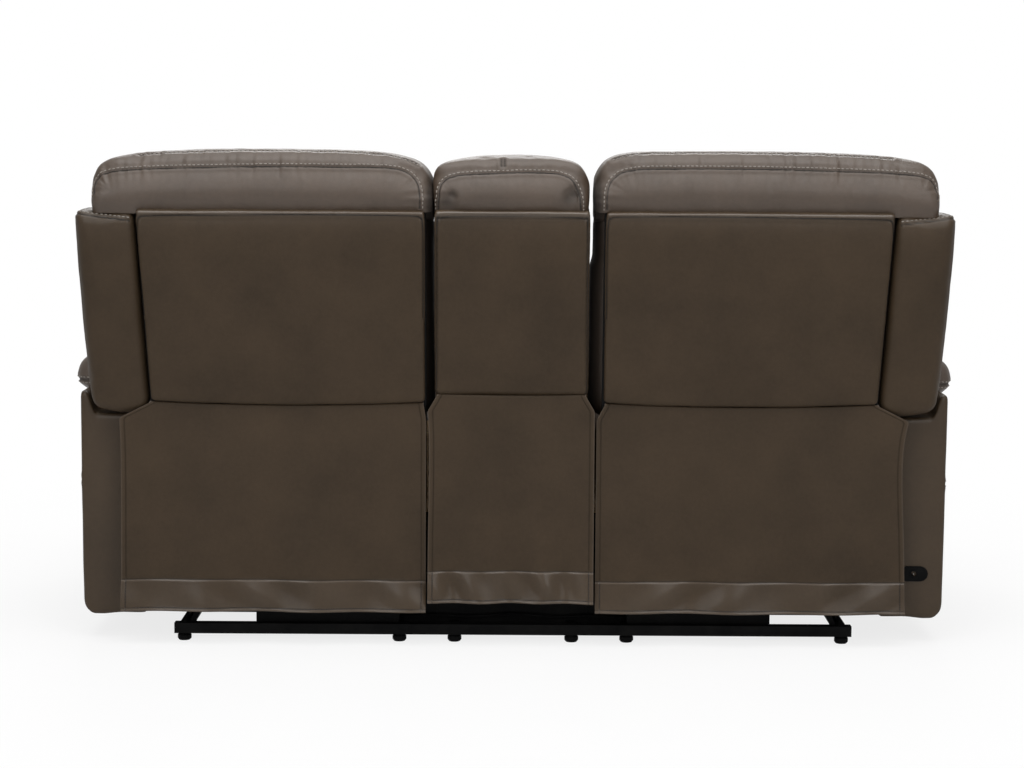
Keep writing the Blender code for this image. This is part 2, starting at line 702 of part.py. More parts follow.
def footrest_links(tag, mid):
    """Three link pairs that fold in a zigzag: the first turns on the base, each next one on the last."""
    inner_face = LINK_OUTER - LINK_THICKNESS
    pin_end = LINK_INNER - LINK_THICKNESS + RUNNING
    tube = rod((mid - inner_face - WELD, mid + inner_face + WELD), LINK_PIVOT, TORQUE_TUBE_RADIUS, 16)
    low = -math.pi / 2 - CRANK_SWING / 2
    tip = turned_about(LINK_PIVOT, low, CRANK_LENGTH)
    crank = plate((mid - CRANK_WIDTH / 2, mid + CRANK_WIDTH / 2), bar(LINK_PIVOT, tip, CRANK_WIDTH))
    bores, first_pins, last_pins, holes = [], [], [], []
    for s in (-1, 1):
        deep = LINK_INNER - 3 * LINK_THICKNESS - RUNNING
        bores.append(rod((mid + s * deep, mid + s * BASE_HALF), LINK_PIVOT, HINGE_PIN_RADIUS + RUNNING))
        pin = (mid + s * (inner_face + WELD), mid + s * pin_end)
        first_pins.append(rod(pin, ELBOW, LINK_PIN_RADIUS))
        last_pins.append(rod(pin, KNEE, LINK_PIN_RADIUS))
        through = (mid + s * (LINK_INNER + REVEAL), mid + s * (LINK_INNER - LINK_THICKNESS - REVEAL))
        for centre in (ELBOW, KNEE):
            holes.append(rod(through, centre, LINK_PIN_RADIUS + RUNNING))
    turning = [tube, crank, *first_pins]
    link_pair(tag + "_footrest_link_1", mid, LINK_OUTER, LINK_PIVOT, ELBOW, turning, bores)
    middle = ((ELBOW[0] + KNEE[0]) / 2, (ELBOW[1] + KNEE[1]) / 2)
    reach = LINK_INNER - LINK_THICKNESS + WELD
    tie = rod((mid - reach, mid + reach), middle, TIE_RADIUS)
    link_pair(tag + "_footrest_link_2", mid, LINK_INNER, ELBOW, KNEE, [tie], holes)
    axle = rod((mid - inner_face - WELD, mid + inner_face + WELD), TOE, TIE_RADIUS)
    link_pair(tag + "_footrest_link_3", mid, LINK_OUTER, KNEE, TOE, [axle, *last_pins])


def footrest(tag, side):
    """Padded board with two brackets that turn on the last links."""
    mid = side * SEAT_MID
    rear = FOOTREST_FRONT + FOOTREST_THICKNESS
    low = (SEAT_IN + FOOTREST_SIDE_GAP, FOOTREST_FRONT, FOOTREST_BOTTOM)
    high = (SEAT_OUT - FOOTREST_SIDE_GAP, rear, FOOTREST_BOTTOM + FOOTREST_HEIGHT)

    def form(point, place):
        swell = (1 - place.x ** 2) * (1 - place.z ** 2)
        inset = FOOTREST_CROWN * max(-place.y, 0.0) * (1 - swell)
        return Vector((side * point.x, point.y + inset, point.z))

    shapes = [cushion(low, high, FOOTREST_ROUND, form=form, edge=2)]
    holes = []
    root, eye = rear - 4 * REVEAL, 2 * TIE_RADIUS
    arm = [(root, FOOTREST_BOTTOM + FOOTREST_BRACKET), (root, FOOTREST_BOTTOM + REVEAL)]
    arm += [(TOE[0] + eye * math.cos(t), TOE[1] + eye * math.sin(t)) for t in toe_angles()]
    for s in (-1, 1):
        wide = (mid + s * (LINK_INNER - LINK_THICKNESS), mid + s * LINK_INNER)
        shapes.append(plate(wide, arm))
        through = (mid + s * (LINK_INNER - LINK_THICKNESS - REVEAL), mid + s * (LINK_INNER + REVEAL))
        holes.append(rod(through, TOE, TIE_RADIUS + RUNNING))
    solid(tag + "_footrest", LEATHER, shapes, holes, origin=(mid, *TOE))


def toe_angles():
    """Directions round the rear and lower side of a footrest bracket's eye."""
    return [math.radians(-120 + 40 * i) for i in range(6)]


def actuator(tag, side):
    """Drive rail on two posts with gearbox and motor at its rear end, and the block that slides on it."""
    mid = side * SEAT_MID
    half = DRIVE_RAIL_WIDTH / 2
    bottom = DRIVE_RAIL_TOP - DRIVE_RAIL_HEIGHT
    shapes = [block((mid - half, mid + half), (DRIVE_RAIL_FRONT, MOTOR_Y), (bottom, DRIVE_RAIL_TOP))]
    for y in (DRIVE_POST_FRONT, DRIVE_POST_REAR):
        deep = (y - DRIVE_POST / 2, y + DRIVE_POST / 2)
        post = block((mid - half + WELD, mid + half - WELD), deep, (POST_FOOT, bottom + 4 * WELD))
        shapes.append(post)
    box = (MOTOR_Z - MOTOR_RADIUS + 4 * WELD, DRIVE_RAIL_TOP + 10 * WELD)
    deep = (MOTOR_Y - GEARBOX / 2, MOTOR_Y + GEARBOX / 2)
    shapes.append(block((mid - GEARBOX / 2, mid + GEARBOX / 2), deep, box))
    ends = (mid - side * MOTOR_INBOARD, mid + side * MOTOR_OUTBOARD)
    shapes.append(rod(ends, (MOTOR_Y, MOTOR_Z), MOTOR_RADIUS, 18))
    solid(tag + "_actuator", STEEL, shapes)
    slot = half + RUNNING
    wide = slot + DRIVE_BLOCK_WALL
    low = DRIVE_RAIL_TOP - DRIVE_RAIL_HEIGHT * 0.7
    roof = DRIVE_RAIL_TOP + TOUCH
    saddle = [(-wide, low), (-slot, low), (-slot, roof), (slot, roof)]
    saddle += [(slot, low), (wide, low), (wide, DRIVE_BLOCK_TOP), (-wide, DRIVE_BLOCK_TOP)]
    saddle = [(mid + x, z) for x, z in saddle]
    start = LINK_PIVOT_Y + CRANK_LENGTH * math.sin(CRANK_SWING / 2)
    deep = (start - DRIVE_BLOCK_LENGTH / 2, start + DRIVE_BLOCK_LENGTH / 2)
    solid(tag + "_drive_block", PLASTIC, [slab(deep, saddle)], origin=(mid, start, DRIVE_RAIL_TOP))


def arm(tag, side):
    outline = [
        (ARM_FRONT, ARM_BOTTOM),
        (ARM_REAR, ARM_BOTTOM),
        (ARM_REAR, ARM_DECK),
        (ARM_PAD_REAR + 2 * REVEAL, ARM_DECK),
        (ARM_PAD_REAR, ARM_TOP),
        (ARM_FRONT, ARM_TOP),
    ]
    solid(tag + "_arm", LEATHER, [eased(plate(pair(side, ARM_IN, ARM_OUT), outline), ARM_EDGE)])
    low = (ARM_IN - ARM_PAD_OVERHANG, ARM_PAD_FRONT, ARM_TOP + TOUCH)
    high = (ARM_OUT + ARM_PAD_OVERHANG, ARM_PAD_REAR, ARM_TOP + TOUCH + ARM_PAD_HEIGHT)

    def form(point, place):
        rise = ARM_PAD_CROWN * max(place.z, 0.0) * (1 - place.x ** 2) * (1 - place.y ** 2)
        return Vector((side * point.x, point.y, point.z + rise))

    solid(tag + "_arm_pad", LEATHER, [cushion(low, high, ARM_PAD_ROUND, along=1, form=form)])


def console():
    """Box with a storage bin, lid, cup holders, back with top cushion and flap, on its own base."""
    half = CONSOLE_WIDTH / 2
    cups = [(s * CUP_SPACING / 2, CUP_Y) for s in (-1, 1)]
    above = CONSOLE_TOP + BIN_WALL
    cuts = [block((BIN_WALL - half, half - BIN_WALL), (BIN_FRONT, BIN_REAR), (BIN_FLOOR, above))]
    pocket = CUP_RADIUS + 2 * TOUCH
    for centre in cups:
        cuts.append(turned(centre, [(pocket, CONSOLE_TOP - CUP_DEPTH - TOUCH), (pocket, above)]))
    box = block((-half, half), (CONSOLE_FRONT, CONSOLE_REAR), (ARM_BOTTOM, CONSOLE_TOP))
    solid("console_box", LEATHER, [box], cuts)
    for name, centre in zip(("right_cup_holder", "left_cup_holder"), cups):
        cup_holder(name, centre)
    console_lid(half)
    console_back()
    shapes = rail_frame(0.0, CONSOLE_BASE_SPAN / 2, CONSOLE_OVERRUN)
    guard = SEAT_IN - TOUCH
    shapes.append(block((-guard, guard), (GUARD_FRONT, GUARD_REAR), (RAIL_BOTTOM + 4 * WELD, CONSOLE_GUARD_TOP)))
    for x in (-CONSOLE_BASE_SPAN / 2, CONSOLE_BASE_SPAN / 2):
        for y in (DRIVE_POST_FRONT, DRIVE_POST_REAR):
            deep = (y - DRIVE_POST / 2, y + DRIVE_POST / 2)
            wide = (x - DRIVE_POST / 2, x + DRIVE_POST / 2)
            shapes.append(block(wide, deep, (RAIL_TOP - TUBE / 2, ARM_BOTTOM - TOUCH)))
    solid("console_base", STEEL, shapes)
    for n, s in (("left", 1), ("right", -1)):
        for end, y in (("front", FOOT_FRONT), ("rear", FOOT_REAR)):
            foot(f"console_{end}_{n}_foot", s * CONSOLE_BASE_SPAN / 2, y)


def cup_holder(name, centre):
    low = CONSOLE_TOP - CUP_DEPTH
    rest = CONSOLE_TOP + TOUCH
    lip = rest + CUP_WALL
    rim = CUP_RADIUS + CUP_FLANGE
    outside = [(CUP_RADIUS - 2 * CUP_WALL, low), (CUP_RADIUS, low + 2 * CUP_WALL), (CUP_RADIUS, rest)]
    outside += [(rim, rest), (rim, lip), (CUP_RADIUS, lip + CUP_WALL)]
    inside = [(CUP_RADIUS - 3 * CUP_WALL, low + CUP_WALL), (CUP_RADIUS - CUP_WALL, low + 3 * CUP_WALL)]
    inside += [(CUP_RADIUS - CUP_WALL, lip + BIN_WALL)]
    solid(name, CUP_METAL, [turned(centre, outside)], [turned(centre, inside)])


def console_lid(half):
    low = (REVEAL - half, LID_FRONT, CONSOLE_TOP + TOUCH)
    high = (half - REVEAL, LID_HINGE_Y, CONSOLE_TOP + TOUCH + LID_THICKNESS)

    def form(point, place):
        rise = LID_CROWN * max(place.z, 0.0) * (1 - place.x ** 2) * (1 - place.y ** 2)
        return point + Vector((0, 0, rise))

    shape = cushion(low, high, LID_ROUND, along=1, form=form)
    solid("console_lid", LEATHER, [shape], origin=(0, LID_HINGE_Y, CONSOLE_TOP + TOUCH))


def console_back():
    """Fixed middle back: it stands behind the console box and leans with the seat backs."""
    half = CONSOLE_BACK_WIDTH / 2
    seam = leaned(BACK_REAR, BACK_BOTTOM + CONSOLE_SEAM_RISE)
    step = seam[0] - 3 * FLAP_BEAD
    front = CONSOLE_REAR + TOUCH
    outline = [
        (front, DECK_TOP + REVEAL),
        (step, DECK_TOP + REVEAL),
        (step, seam[1]),
        seam,
        leaned(BACK_REAR, BACK_TOP),
        leaned(FRAME_FRONT - FRAME_THICKNESS, BACK_TOP),
        (front, CONSOLE_TOP + REVEAL),
    ]
    wide = (CONSOLE_SHIFT - half, CONSOLE_SHIFT + half)
    solid("console_back", LEATHER, [eased(plate(wide, outline), ARM_EDGE)])
    hinge = empty("console_back_frame", BACK_TO_WORLD)
    rear = BACK_REAR + HEADREST_OVERHANG - REVEAL
    low = (CONSOLE_SHIFT - half, rear - CONSOLE_CUSHION_DEPTH, BACK_TOP + TOUCH)
    high = (CONSOLE_SHIFT + half, rear, BACK_TOP + TOUCH + CONSOLE_CUSHION_HEIGHT)
    solid("console_top_cushion", LEATHER, [top_cushion(low, high, 1)], parent=hinge)
    axis = (seam[0] - FLAP_BEAD, seam[1] - TOUCH - FLAP_BEAD)
    edge = half - REVEAL
    inner = (CONSOLE_SHIFT - edge, CONSOLE_SHIFT - CONSOLE_FLAP_HALF)
    outer = (CONSOLE_SHIFT + edge, CONSOLE_SHIFT + CONSOLE_FLAP_HALF)
    flap("console_flap", inner, outer, axis, CONSOLE_FLAP_BOTTOM, 1, 2.5 * FLAP_LAG)


def control(tag, side):
    """Oval plate on the console's side with a rocker switch in its window."""
    face = CONSOLE_WIDTH / 2 + TOUCH
    outline = [(CONTROL_Y + a, CONTROL_Z + b) for a, b in stadium(CONTROL_LENGTH, CONTROL_HEIGHT)]
    long = ROCKER_LENGTH / 2 + ROCKER_CLEARANCE
    tall = ROCKER_HEIGHT / 2 + ROCKER_CLEARANCE
    through = pair(side, face - REVEAL, face + CONTROL_THICKNESS + REVEAL)
    window = block(through, (CONTROL_Y - long, CONTROL_Y + long), (CONTROL_Z - tall, CONTROL_Z + tall))
    shape = plate(pair(side, face, face + CONTROL_THICKNESS), outline)
    solid(tag + "_control_plate", PLASTIC, [shape], [window])
    start = face + ROCKER_CLEARANCE + WELD
    wide = pair(side, start, start + ROCKER_DEPTH)
    long = (CONTROL_Y - ROCKER_LENGTH / 2, CONTROL_Y + ROCKER_LENGTH / 2)
    tall = (CONTROL_Z - ROCKER_HEIGHT / 2, CONTROL_Z + ROCKER_HEIGHT / 2)
    pivot = (side * (start + ROCKER_DEPTH / 2), CONTROL_Y, CONTROL_Z)
    solid(tag + "_rocker_switch", PLASTIC, [block(wide, long, tall)], origin=pivot)


def power_inlet():
    """Bezel with a round jack on the rear of the right arm."""
    start = ARM_REAR + TOUCH
    outline = [(INLET_X + a, INLET_Z + b) for a, b in stadium(INLET_LENGTH, INLET_HEIGHT)]
    turn = [2 * math.pi * i / 14 for i in range(14)]

    def ring(radius):
        return [(INLET_X + radius * math.cos(t), INLET_Z + radius * math.sin(t)) for t in turn]

    bezel = slab((start, start + INLET_THICKNESS), outline)
    boss = slab((start + WELD, start + 1.5 * INLET_THICKNESS), ring(INLET_JACK_RADIUS + CUP_WALL))
    hole = slab((start + WELD, start + 3 * INLET_THICKNESS), ring(INLET_JACK_RADIUS))
    solid("power_inlet", PLASTIC, [bezel, boss], [hole])


def power_lead():
    """Thin lead from motor to motor, held along the rear of the bases."""
    end = SEAT_MID - MOTOR_INBOARD - TOUCH
    reach, drop = LEAD_Y - MOTOR_Y, MOTOR_Z - LEAD_Z
    half_route = [
        (end, MOTOR_Y, MOTOR_Z),
        (end - LEAD_STEP, MOTOR_Y, MOTOR_Z),
        (end - 2 * LEAD_STEP, MOTOR_Y, MOTOR_Z),
        (end - 5 * LEAD_STEP, MOTOR_Y + 0.41 * reach, MOTOR_Z - 0.6 * drop),
        (end - 10 * LEAD_STEP, MOTOR_Y + 0.88 * reach, LEAD_Z),
        (SEAT_IN + 8 * LEAD_STEP, LEAD_Y, LEAD_Z - LEAD_RADIUS / 3),
        (SEAT_IN + LEAD_STEP, LEAD_Y, LEAD_Z + LEAD_RADIUS),
        (CONSOLE_BASE_SPAN * 0.37, LEAD_Y, LEAD_Z),
    ]
    middle = [(0.0, LEAD_Y, LEAD_Z + 2 * LEAD_RADIUS)]
    route = half_route + middle + [(-x, y, z) for x, y, z in reversed(half_route)]
    points = smooth(route, 5)
    curve = bpy.data.curves.new("power_lead", "CURVE")
    curve.dimensions = "3D"
    curve.bevel_depth = LEAD_RADIUS
    curve.bevel_resolution = 2
    curve.use_fill_caps = True
    spline = curve.splines.new("POLY")
    spline.points.add(len(points) - 1)
    for target, point in zip(spline.points, points):
        target.co = (*point, 1.0)
    curve.materials.append(PLASTIC)
    lead = bpy.data.objects.new("power_lead", curve)
    bpy.context.scene.collection.objects.link(lead)


def smooth(route, steps):
    """Points along a smooth curve through the route."""
    route = [Vector(p) for p in route]
    padded = [2 * route[0] - route[1], *route, 2 * route[-1] - route[-2]]
    points = []
    for a, b, c, d in zip(padded, padded[1:], padded[2:], padded[3:]):
        for i in range(steps):
            t = i / steps
            bend = (2 * a - 5 * b + 4 * c - d) * t ** 2 + (3 * (b - c) + d - a) * t ** 3
            points.append(b + ((c - a) * t + bend) / 2)
    return points + [route[-1]]


LINK_PIVOT = (LINK_PIVOT_Y, LINK_PIVOT_Z)
ELBOW = turned_about(LINK_PIVOT, -LINK_FOLD, LINK_LENGTH)
KNEE = turned_about(ELBOW, LINK_FOLD, LINK_LENGTH)
TOE = turned_about(KNEE, -LINK_FOLD, LINK_LENGTH)
POST_FOOT = RAIL_TOP - 2 * WELD + TOUCH

for old in list(bpy.data.objects):
    bpy.data.objects.remove(old)

LEATHER = finish("dark_brown_leather", (0.048, 0.036, 0.028), 0.45)
STEEL = finish("black_steel", (0.012, 0.012, 0.013), 0.4, 0.6)
PLASTIC = finish("black_plastic", (0.015, 0.015, 0.016), 0.5)
PLYWOOD = finish("plywood", (0.32, 0.22, 0.13), 0.7)
CUP_METAL = finish("cup_steel", (0.55, 0.55, 0.56), 0.25, 1.0)

for tag, side in (("left", 1), ("right", -1)):
    seat_base(tag, side)
    seat_deck(tag, side)
    seat_cushion(tag, side)
    reclining_back(tag, side)
    seat_flap(tag, side)
    footrest_links(tag, side * SEAT_MID)
    footrest(tag, side)
    actuator(tag, side)
    arm(tag, side)
    control(tag, side)
console()
power_inlet()
power_lead()
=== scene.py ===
"""Looks of the power reclining console loveseat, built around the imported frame.

Metres, +Z up, front towards -Y, +X the sitter's left. The photograph is taken from behind.
"""

import math

import bmesh
import bpy
import numpy as np
from mathutils import Matrix, Vector, noise
from mathutils.bvhtree import BVHTree
from mathutils.kdtree import KDTree


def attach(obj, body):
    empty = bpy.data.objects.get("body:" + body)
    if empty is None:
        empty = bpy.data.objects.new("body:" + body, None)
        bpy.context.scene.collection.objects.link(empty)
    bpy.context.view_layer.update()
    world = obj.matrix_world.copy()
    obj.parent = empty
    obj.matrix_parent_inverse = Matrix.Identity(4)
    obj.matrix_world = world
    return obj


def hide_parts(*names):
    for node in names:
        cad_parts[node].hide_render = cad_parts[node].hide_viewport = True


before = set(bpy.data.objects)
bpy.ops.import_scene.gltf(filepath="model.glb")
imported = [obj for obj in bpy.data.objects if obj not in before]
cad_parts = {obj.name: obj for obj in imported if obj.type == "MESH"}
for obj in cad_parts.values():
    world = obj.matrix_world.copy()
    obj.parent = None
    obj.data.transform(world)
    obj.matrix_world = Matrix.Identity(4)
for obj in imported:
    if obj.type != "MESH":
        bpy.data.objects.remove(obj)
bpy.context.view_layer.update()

# Sizes repeated from the part's source
HINGE_Y, HINGE_Z = 0.385, 0.490
LEAN = math.radians(8.0)
SEAT_IN, SEAT_OUT = 0.1753, 0.8383
SEAT_MID = (SEAT_IN + SEAT_OUT) / 2
ARM_IN, ARM_OUT = 0.8386, 0.9836
ARM_FRONT, ARM_REAR = -0.515, 0.385
ARM_BOTTOM, ARM_DECK, ARM_TOP = 0.059, 0.522, 0.548
ARM_PAD_REAR = 0.305
DECK_TOP = 0.320
BACK_BOTTOM, BACK_TOP, BACK_REAR = 0.074, 0.5072, 0.0522
FRAME_REAR, FRAME_FRONT = 0.0325, -0.010
PANEL_IN, PANEL_TAPER = 0.200, 0.020
CONSOLE_SHIFT, CONSOLE_HALF = 0.0065, 0.171
CONSOLE_FLAP_HALF = 0.1875
FLAP_BOTTOM, CONSOLE_FLAP_BOTTOM = 0.078, 0.102
TOE = (-0.471408, 0.083645)
SIDES = (("left", 1), ("right", -1))

# Sewing
STITCH_SPACING, STITCH_LENGTH, STITCH_THICKNESS = 0.0098, 0.0074, 0.0026
FINE = 0.6
SEAM_OFFSET = 0.0060
# A near-black line of beads laid in a seam's groove is painted shade; it sits this far off the leather, and
# pillow seams get it
GROOVE_SHADOW_LIFT = 0.0001
PILLOW_SEAM = {"groove_shadow": True, "depth": 0.0009, "width": 0.0017}
FLAP_HEM = 0.070

# Stuffing
SWELL_FRAMES = 20
CLOTH = {
    "quality": 4, "mass": 0.35, "tension_stiffness": 18, "compression_stiffness": 18,
    "shear_stiffness": 8, "bending_stiffness": 1.5, "use_pressure": True,
    "uniform_pressure_force": 4.0, "vertex_group_mass": "held",
}

# The photograph's camera
FOCAL_SHARE = 2270.0 / 1024.0
CAMERA_PLACE = (0.0053, 5.5, 1.185)
CAMERA_DIP, CAMERA_ROLL = 6.6, 0.33

WHITE = (1, 1, 1, 1)


# Shader wiring

class Wire:
    """A socket that can be used in sums."""

    def __init__(self, finish, socket):
        self.finish, self.socket = finish, socket

    def sum(self, operation, first, second):
        return self.finish.node("ShaderNodeMath", {"operation": operation}, {0: first, 1: second})

    def __add__(self, other):
        return self.sum("ADD", self, other)

    def __radd__(self, other):
        return self.sum("ADD", other, self)

    def __sub__(self, other):
        return self.sum("SUBTRACT", self, other)

    def __rsub__(self, other):
        return self.sum("SUBTRACT", other, self)

    def __mul__(self, other):
        return self.sum("MULTIPLY", self, other)

    def most(self, other):
        return self.sum("MAXIMUM", self, other)

    def clamped(self):
        return self.finish.node("ShaderNodeClamp", {}, {0: self})


class Finish:
    """A material, or the world, whose nodes are wired by expressions."""

    def __init__(self, name, kind="materials"):
        self.owner = getattr(bpy.data, kind).new(name)
        self.owner.use_nodes = True
        self.tree = self.owner.node_tree
        self.shader = self.tree.nodes["Principled BSDF" if kind == "materials" else "Background"]

    def node(self, kind, settings=None, inputs=None, output=0):
        made = self.tree.nodes.new(kind)
        for key, value in (settings or {}).items():
            setattr(made, key, value)
        for key, value in (inputs or {}).items():
            self.feed(made.inputs[key], value)
        return Wire(self, made.outputs[output])

    def feed(self, socket, value):
        if isinstance(value, Wire):
            self.tree.links.new(value.socket, socket)
        else:
            socket.default_value = value

    def set(self, **inputs):
        """Values or wires for the shader's sockets, named with underscores for spaces."""
        for key, value in inputs.items():
            self.feed(self.shader.inputs[key.replace("_", " ")], value)
        return self.owner

    def place(self):
        return self.node("ShaderNodeTexCoord", output="Object")

    def noise(self, scale, detail, roughness, vector):
        inputs = {"Vector": vector, "Scale": scale, "Detail": detail, "Roughness": roughness}
        return self.node("ShaderNodeTexNoise", {}, inputs, "Fac")

    def waves(self, direction, scale, vector):
        inputs = {"Vector": vector, "Scale": scale}
        return self.node("ShaderNodeTexWave", {"bands_direction": direction}, inputs, "Fac")

    def stretched(self, scale, vector):
        return self.node("ShaderNodeMapping", {}, {"Vector": vector, "Scale": scale})

    def mark(self, name):
        return self.node("ShaderNodeAttribute", {"attribute_name": name}, output="Fac")

    def ramp(self, factor, stops):
        made = self.node("ShaderNodeValToRGB", {}, {"Fac": factor}, "Color")
        elements = made.socket.node.color_ramp.elements
        while len(elements) < len(stops):
            elements.new(0.5)
        for element, (place, colour) in zip(elements, stops):
            element.position = place
            element.color = (*colour, 1.0)
        return made

    def mix(self, factor, first, second):
        inputs = {"Factor": factor, 6: first, 7: (*second, 1.0)}
        return self.node("ShaderNodeMix", {"data_type": "RGBA"}, inputs, 2)

    def bump(self, height, strength, distance, normal=None):
        inputs = {"Height": height, "Strength": strength, "Distance": distance}
        if normal:
            inputs["Normal"] = normal
        return self.node("ShaderNodeBump", {}, inputs)

    def spread(self, value, low, high, first, last, kind="LINEAR"):
        """A value's run from low to high turned into a run from first to last."""
        inputs = {0: value, 1: low, 2: high, 3: first, 4: last}
        return self.node("ShaderNodeMapRange", {"interpolation_type": kind}, inputs)

    def ray(self, kind):
        return self.node("ShaderNodeLightPath", output=f"Is {kind} Ray")

    def end(self, output, share, other):
        """Sends the shader, mixed with another one, to the tree's output."""
        inputs = {0: share, 1: Wire(self, self.shader.outputs[0]), 2: other}
        mixed = self.node("ShaderNodeMixShader", {}, inputs)
        self.feed(self.tree.nodes[output].inputs["Surface"], mixed)


def times(share, colour):
    return tuple(share * c for c in colour)


def leather(name, dark, light, shine, gloss):
    """Grained leather: clouded colour, pebbles, painted shade in seam grooves and gaps, and painted
    highlights with a glossier coat on raised places.
    """
    f = Finish(name)
    place = f.place()
    cloud = f.noise(6.0, 6.0, 0.62, place)
    speck = f.noise(110.0, 3.0, 0.65, place)
    middle = tuple((a + b) / 2 for a, b in zip(dark, light))
    tone = f.ramp(cloud * 0.7 + speck * 0.3, [(0.34, dark), (0.50, middle), (0.68, light)])
    seam, rub = f.mark("seam"), f.mark("rub")
    # Painted highlight: the highlight marks turn the colour paler where light would catch raised and
    # upward-facing leather.
    tone = f.mix((rub * 0.55).clamped(), tone, times(1.7, light))
    # Painted shade: the seam marks darken the colour in seam grooves, narrow gaps and hollows.
    tone = f.mix((seam * 0.85).clamped(), tone, times(0.18, dark))
    cells = {"Vector": place, "Scale": 460.0}
    pebble = f.node("ShaderNodeTexVoronoi", {"feature": "DISTANCE_TO_EDGE"}, cells)
    pore = f.noise(900.0, 2.0, 0.5, place)
    crackle = f.noise(38.0, 4.0, 0.6, place)
    fine = f.bump((pebble * 2.2).clamped() * 0.7 + pore * 0.3, 0.32, 0.0006)
    normal = f.bump(crackle, 0.18, 0.0016, fine)
    rough = shine + cloud * 0.10 + (1 - pebble * 2.0).clamped() * 0.06 + seam * 0.40 - rub * 0.08
    f.set(Coat_Weight=rub.clamped(), Coat_Roughness=0.26, Specular_IOR_Level=gloss)
    return f.set(Base_Color=tone, Roughness=rough, Normal=normal)


def thread(name, colour):
    """Twisted sewing thread."""
    f = Finish(name)
    place = f.place()
    strand = f.waves("DIAGONAL", 900.0, place)
    fuzz = f.noise(60.0, 2.0, 0.5, place)
    tone = f.ramp(strand * 0.5 + fuzz * 0.5, [(0.25, times(0.55, colour)), (0.75, colour)])
    return f.set(Base_Color=tone, Roughness=0.62 + fuzz * 0.2, Normal=f.bump(strand, 0.3, 0.0003))


def painted_steel(name):
    """Satin black powder coat with its fine orange peel and a little dust."""
    stops = [(0.35, (0.0022, 0.0022, 0.0024)), (0.75, (0.0065, 0.0063, 0.0060))]
    return black_coat(name, (420.0, 2.0, 0.5), (16.0, 5.0, 0.65), stops, (0.36, 0.2), (0.14, 0.0004), 0.05)


def moulded_plastic(name):
    """Black plastic with a fine spark texture."""
    stops = [(0.3, (0.0012, 0.0012, 0.0013)), (0.7, (0.0036, 0.0036, 0.0038))]
    return black_coat(name, (1100.0, 2.0, 0.6), (22.0, 3.0, 0.6), stops, (0.42, 0.16), (0.16, 0.0003), 0.06)


def black_coat(name, grain, cloud, stops, rough, relief, gloss):
    """A black surface with a fine relief and clouds that change its tone and its roughness."""
    f = Finish(name)
    place = f.place()
    clouds = f.noise(*cloud, place)
    f.set(Normal=f.bump(f.noise(*grain, place), *relief), Specular_IOR_Level=gloss)
    return f.set(Base_Color=f.ramp(clouds, stops), Roughness=rough[0] + clouds * rough[1])


def brushed_cup(name):
    """Brushed metal cup insert: rings of fine scratches."""
    f = Finish(name)
    lines = f.noise(1.0, 3.0, 0.7, f.stretched((18.0, 18.0, 1500.0), f.place()))
    tone = f.ramp(lines, [(0.3, (0.36, 0.36, 0.37)), (0.7, (0.56, 0.56, 0.57))])
    f.set(Metallic=1.0, Normal=f.bump(lines, 0.08, 0.0003))
    return f.set(Base_Color=tone, Roughness=0.24 + lines * 0.16)


def plywood(name):
    """Bare plywood: long grain and open pores."""
    f = Finish(name)
    along = f.stretched((3.0, 46.0, 46.0), f.place())
    grain = f.noise(1.6, 6.0, 0.65, along)
    pore = f.noise(9.0, 3.0, 0.6, along)
    stops = [(0.28, (0.24, 0.145, 0.075)), (0.55, (0.38, 0.26, 0.15)), (0.78, (0.47, 0.34, 0.21))]
    normal = f.bump(pore, 0.25, 0.0006)
    return f.set(Base_Color=f.ramp(grain, stops), Roughness=0.62 + pore * 0.2, Normal=normal)


def gap_shade_cloth(name):
    """Black woven cloth over the frame of a seat back, its black standing in for the shade in the gaps
    beside the back panels.
    """
    f = Finish(name)
    place = f.place()
    weave = f.waves("X", 420.0, place) * f.waves("Z", 420.0, place)
    tone = f.ramp(weave, [(0.1, (0.004, 0.004, 0.004)), (0.9, (0.012, 0.0115, 0.011))])
    f.set(Normal=f.bump(weave, 0.3, 0.0004), Specular_IOR_Level=0.2)
    return f.set(Base_Color=tone, Roughness=0.86 - weave * 0.1)


def bright_pin(name):
    """Nickel contact of the inlet's jack."""
    f = Finish(name)
    scuff = f.noise(300.0, 3.0, 0.6, f.place())
    tone = f.ramp(scuff, [(0.3, (0.42, 0.41, 0.39)), (0.7, (0.66, 0.65, 0.62))])
    return f.set(Base_Color=tone, Metallic=1.0, Roughness=0.22 + scuff * 0.2)


HIDE = leather("taupe_leather", (0.0455, 0.0307, 0.0205), (0.0680, 0.0465, 0.0320), 0.33, 0.5)
BACK_HIDE = leather("taupe_back_leather", (0.0295, 0.0194, 0.0108), (0.0455, 0.0300, 0.0172), 0.42, 0.16)
PALE_THREAD = thread("pale_thread", (0.27, 0.24, 0.21))
DARK_THREAD = thread("dark_thread", (0.016, 0.012, 0.010))
# Painted shade: near-black beads laid along seam grooves, made like a thread
SEAM_SHADOW_LINE = thread("closing_thread", (0.007, 0.005, 0.004))
STEEL = painted_steel("black_powder_coat")
PLASTIC = moulded_plastic("black_moulded_plastic")
CUP = brushed_cup("brushed_cup_metal")
PLY = plywood("bare_plywood")
GAP_SHADE_CLOTH = gap_shade_cloth("black_lining")
PIN = bright_pin("nickel_pin")


# Mesh building

def leaned(x, y, z):
    """World place of what is given in the back's own frame."""
    c, s = math.cos(LEAN), math.sin(LEAN)
    return x, HINGE_Y + y * c + z * s, HINGE_Z - y * s + z * c


def outer_edge(z):
    """The slanting outer edge of a seat back at a height in the back's own frame."""
    return SEAT_OUT - PANEL_TAPER * (1 - (z - BACK_BOTTOM) / (BACK_TOP - BACK_BOTTOM))


def smooth_step(value, low, high):
    t = np.clip((value - low) / (high - low), 0.0, 1.0)
    return t * t * (3 - 2 * t)


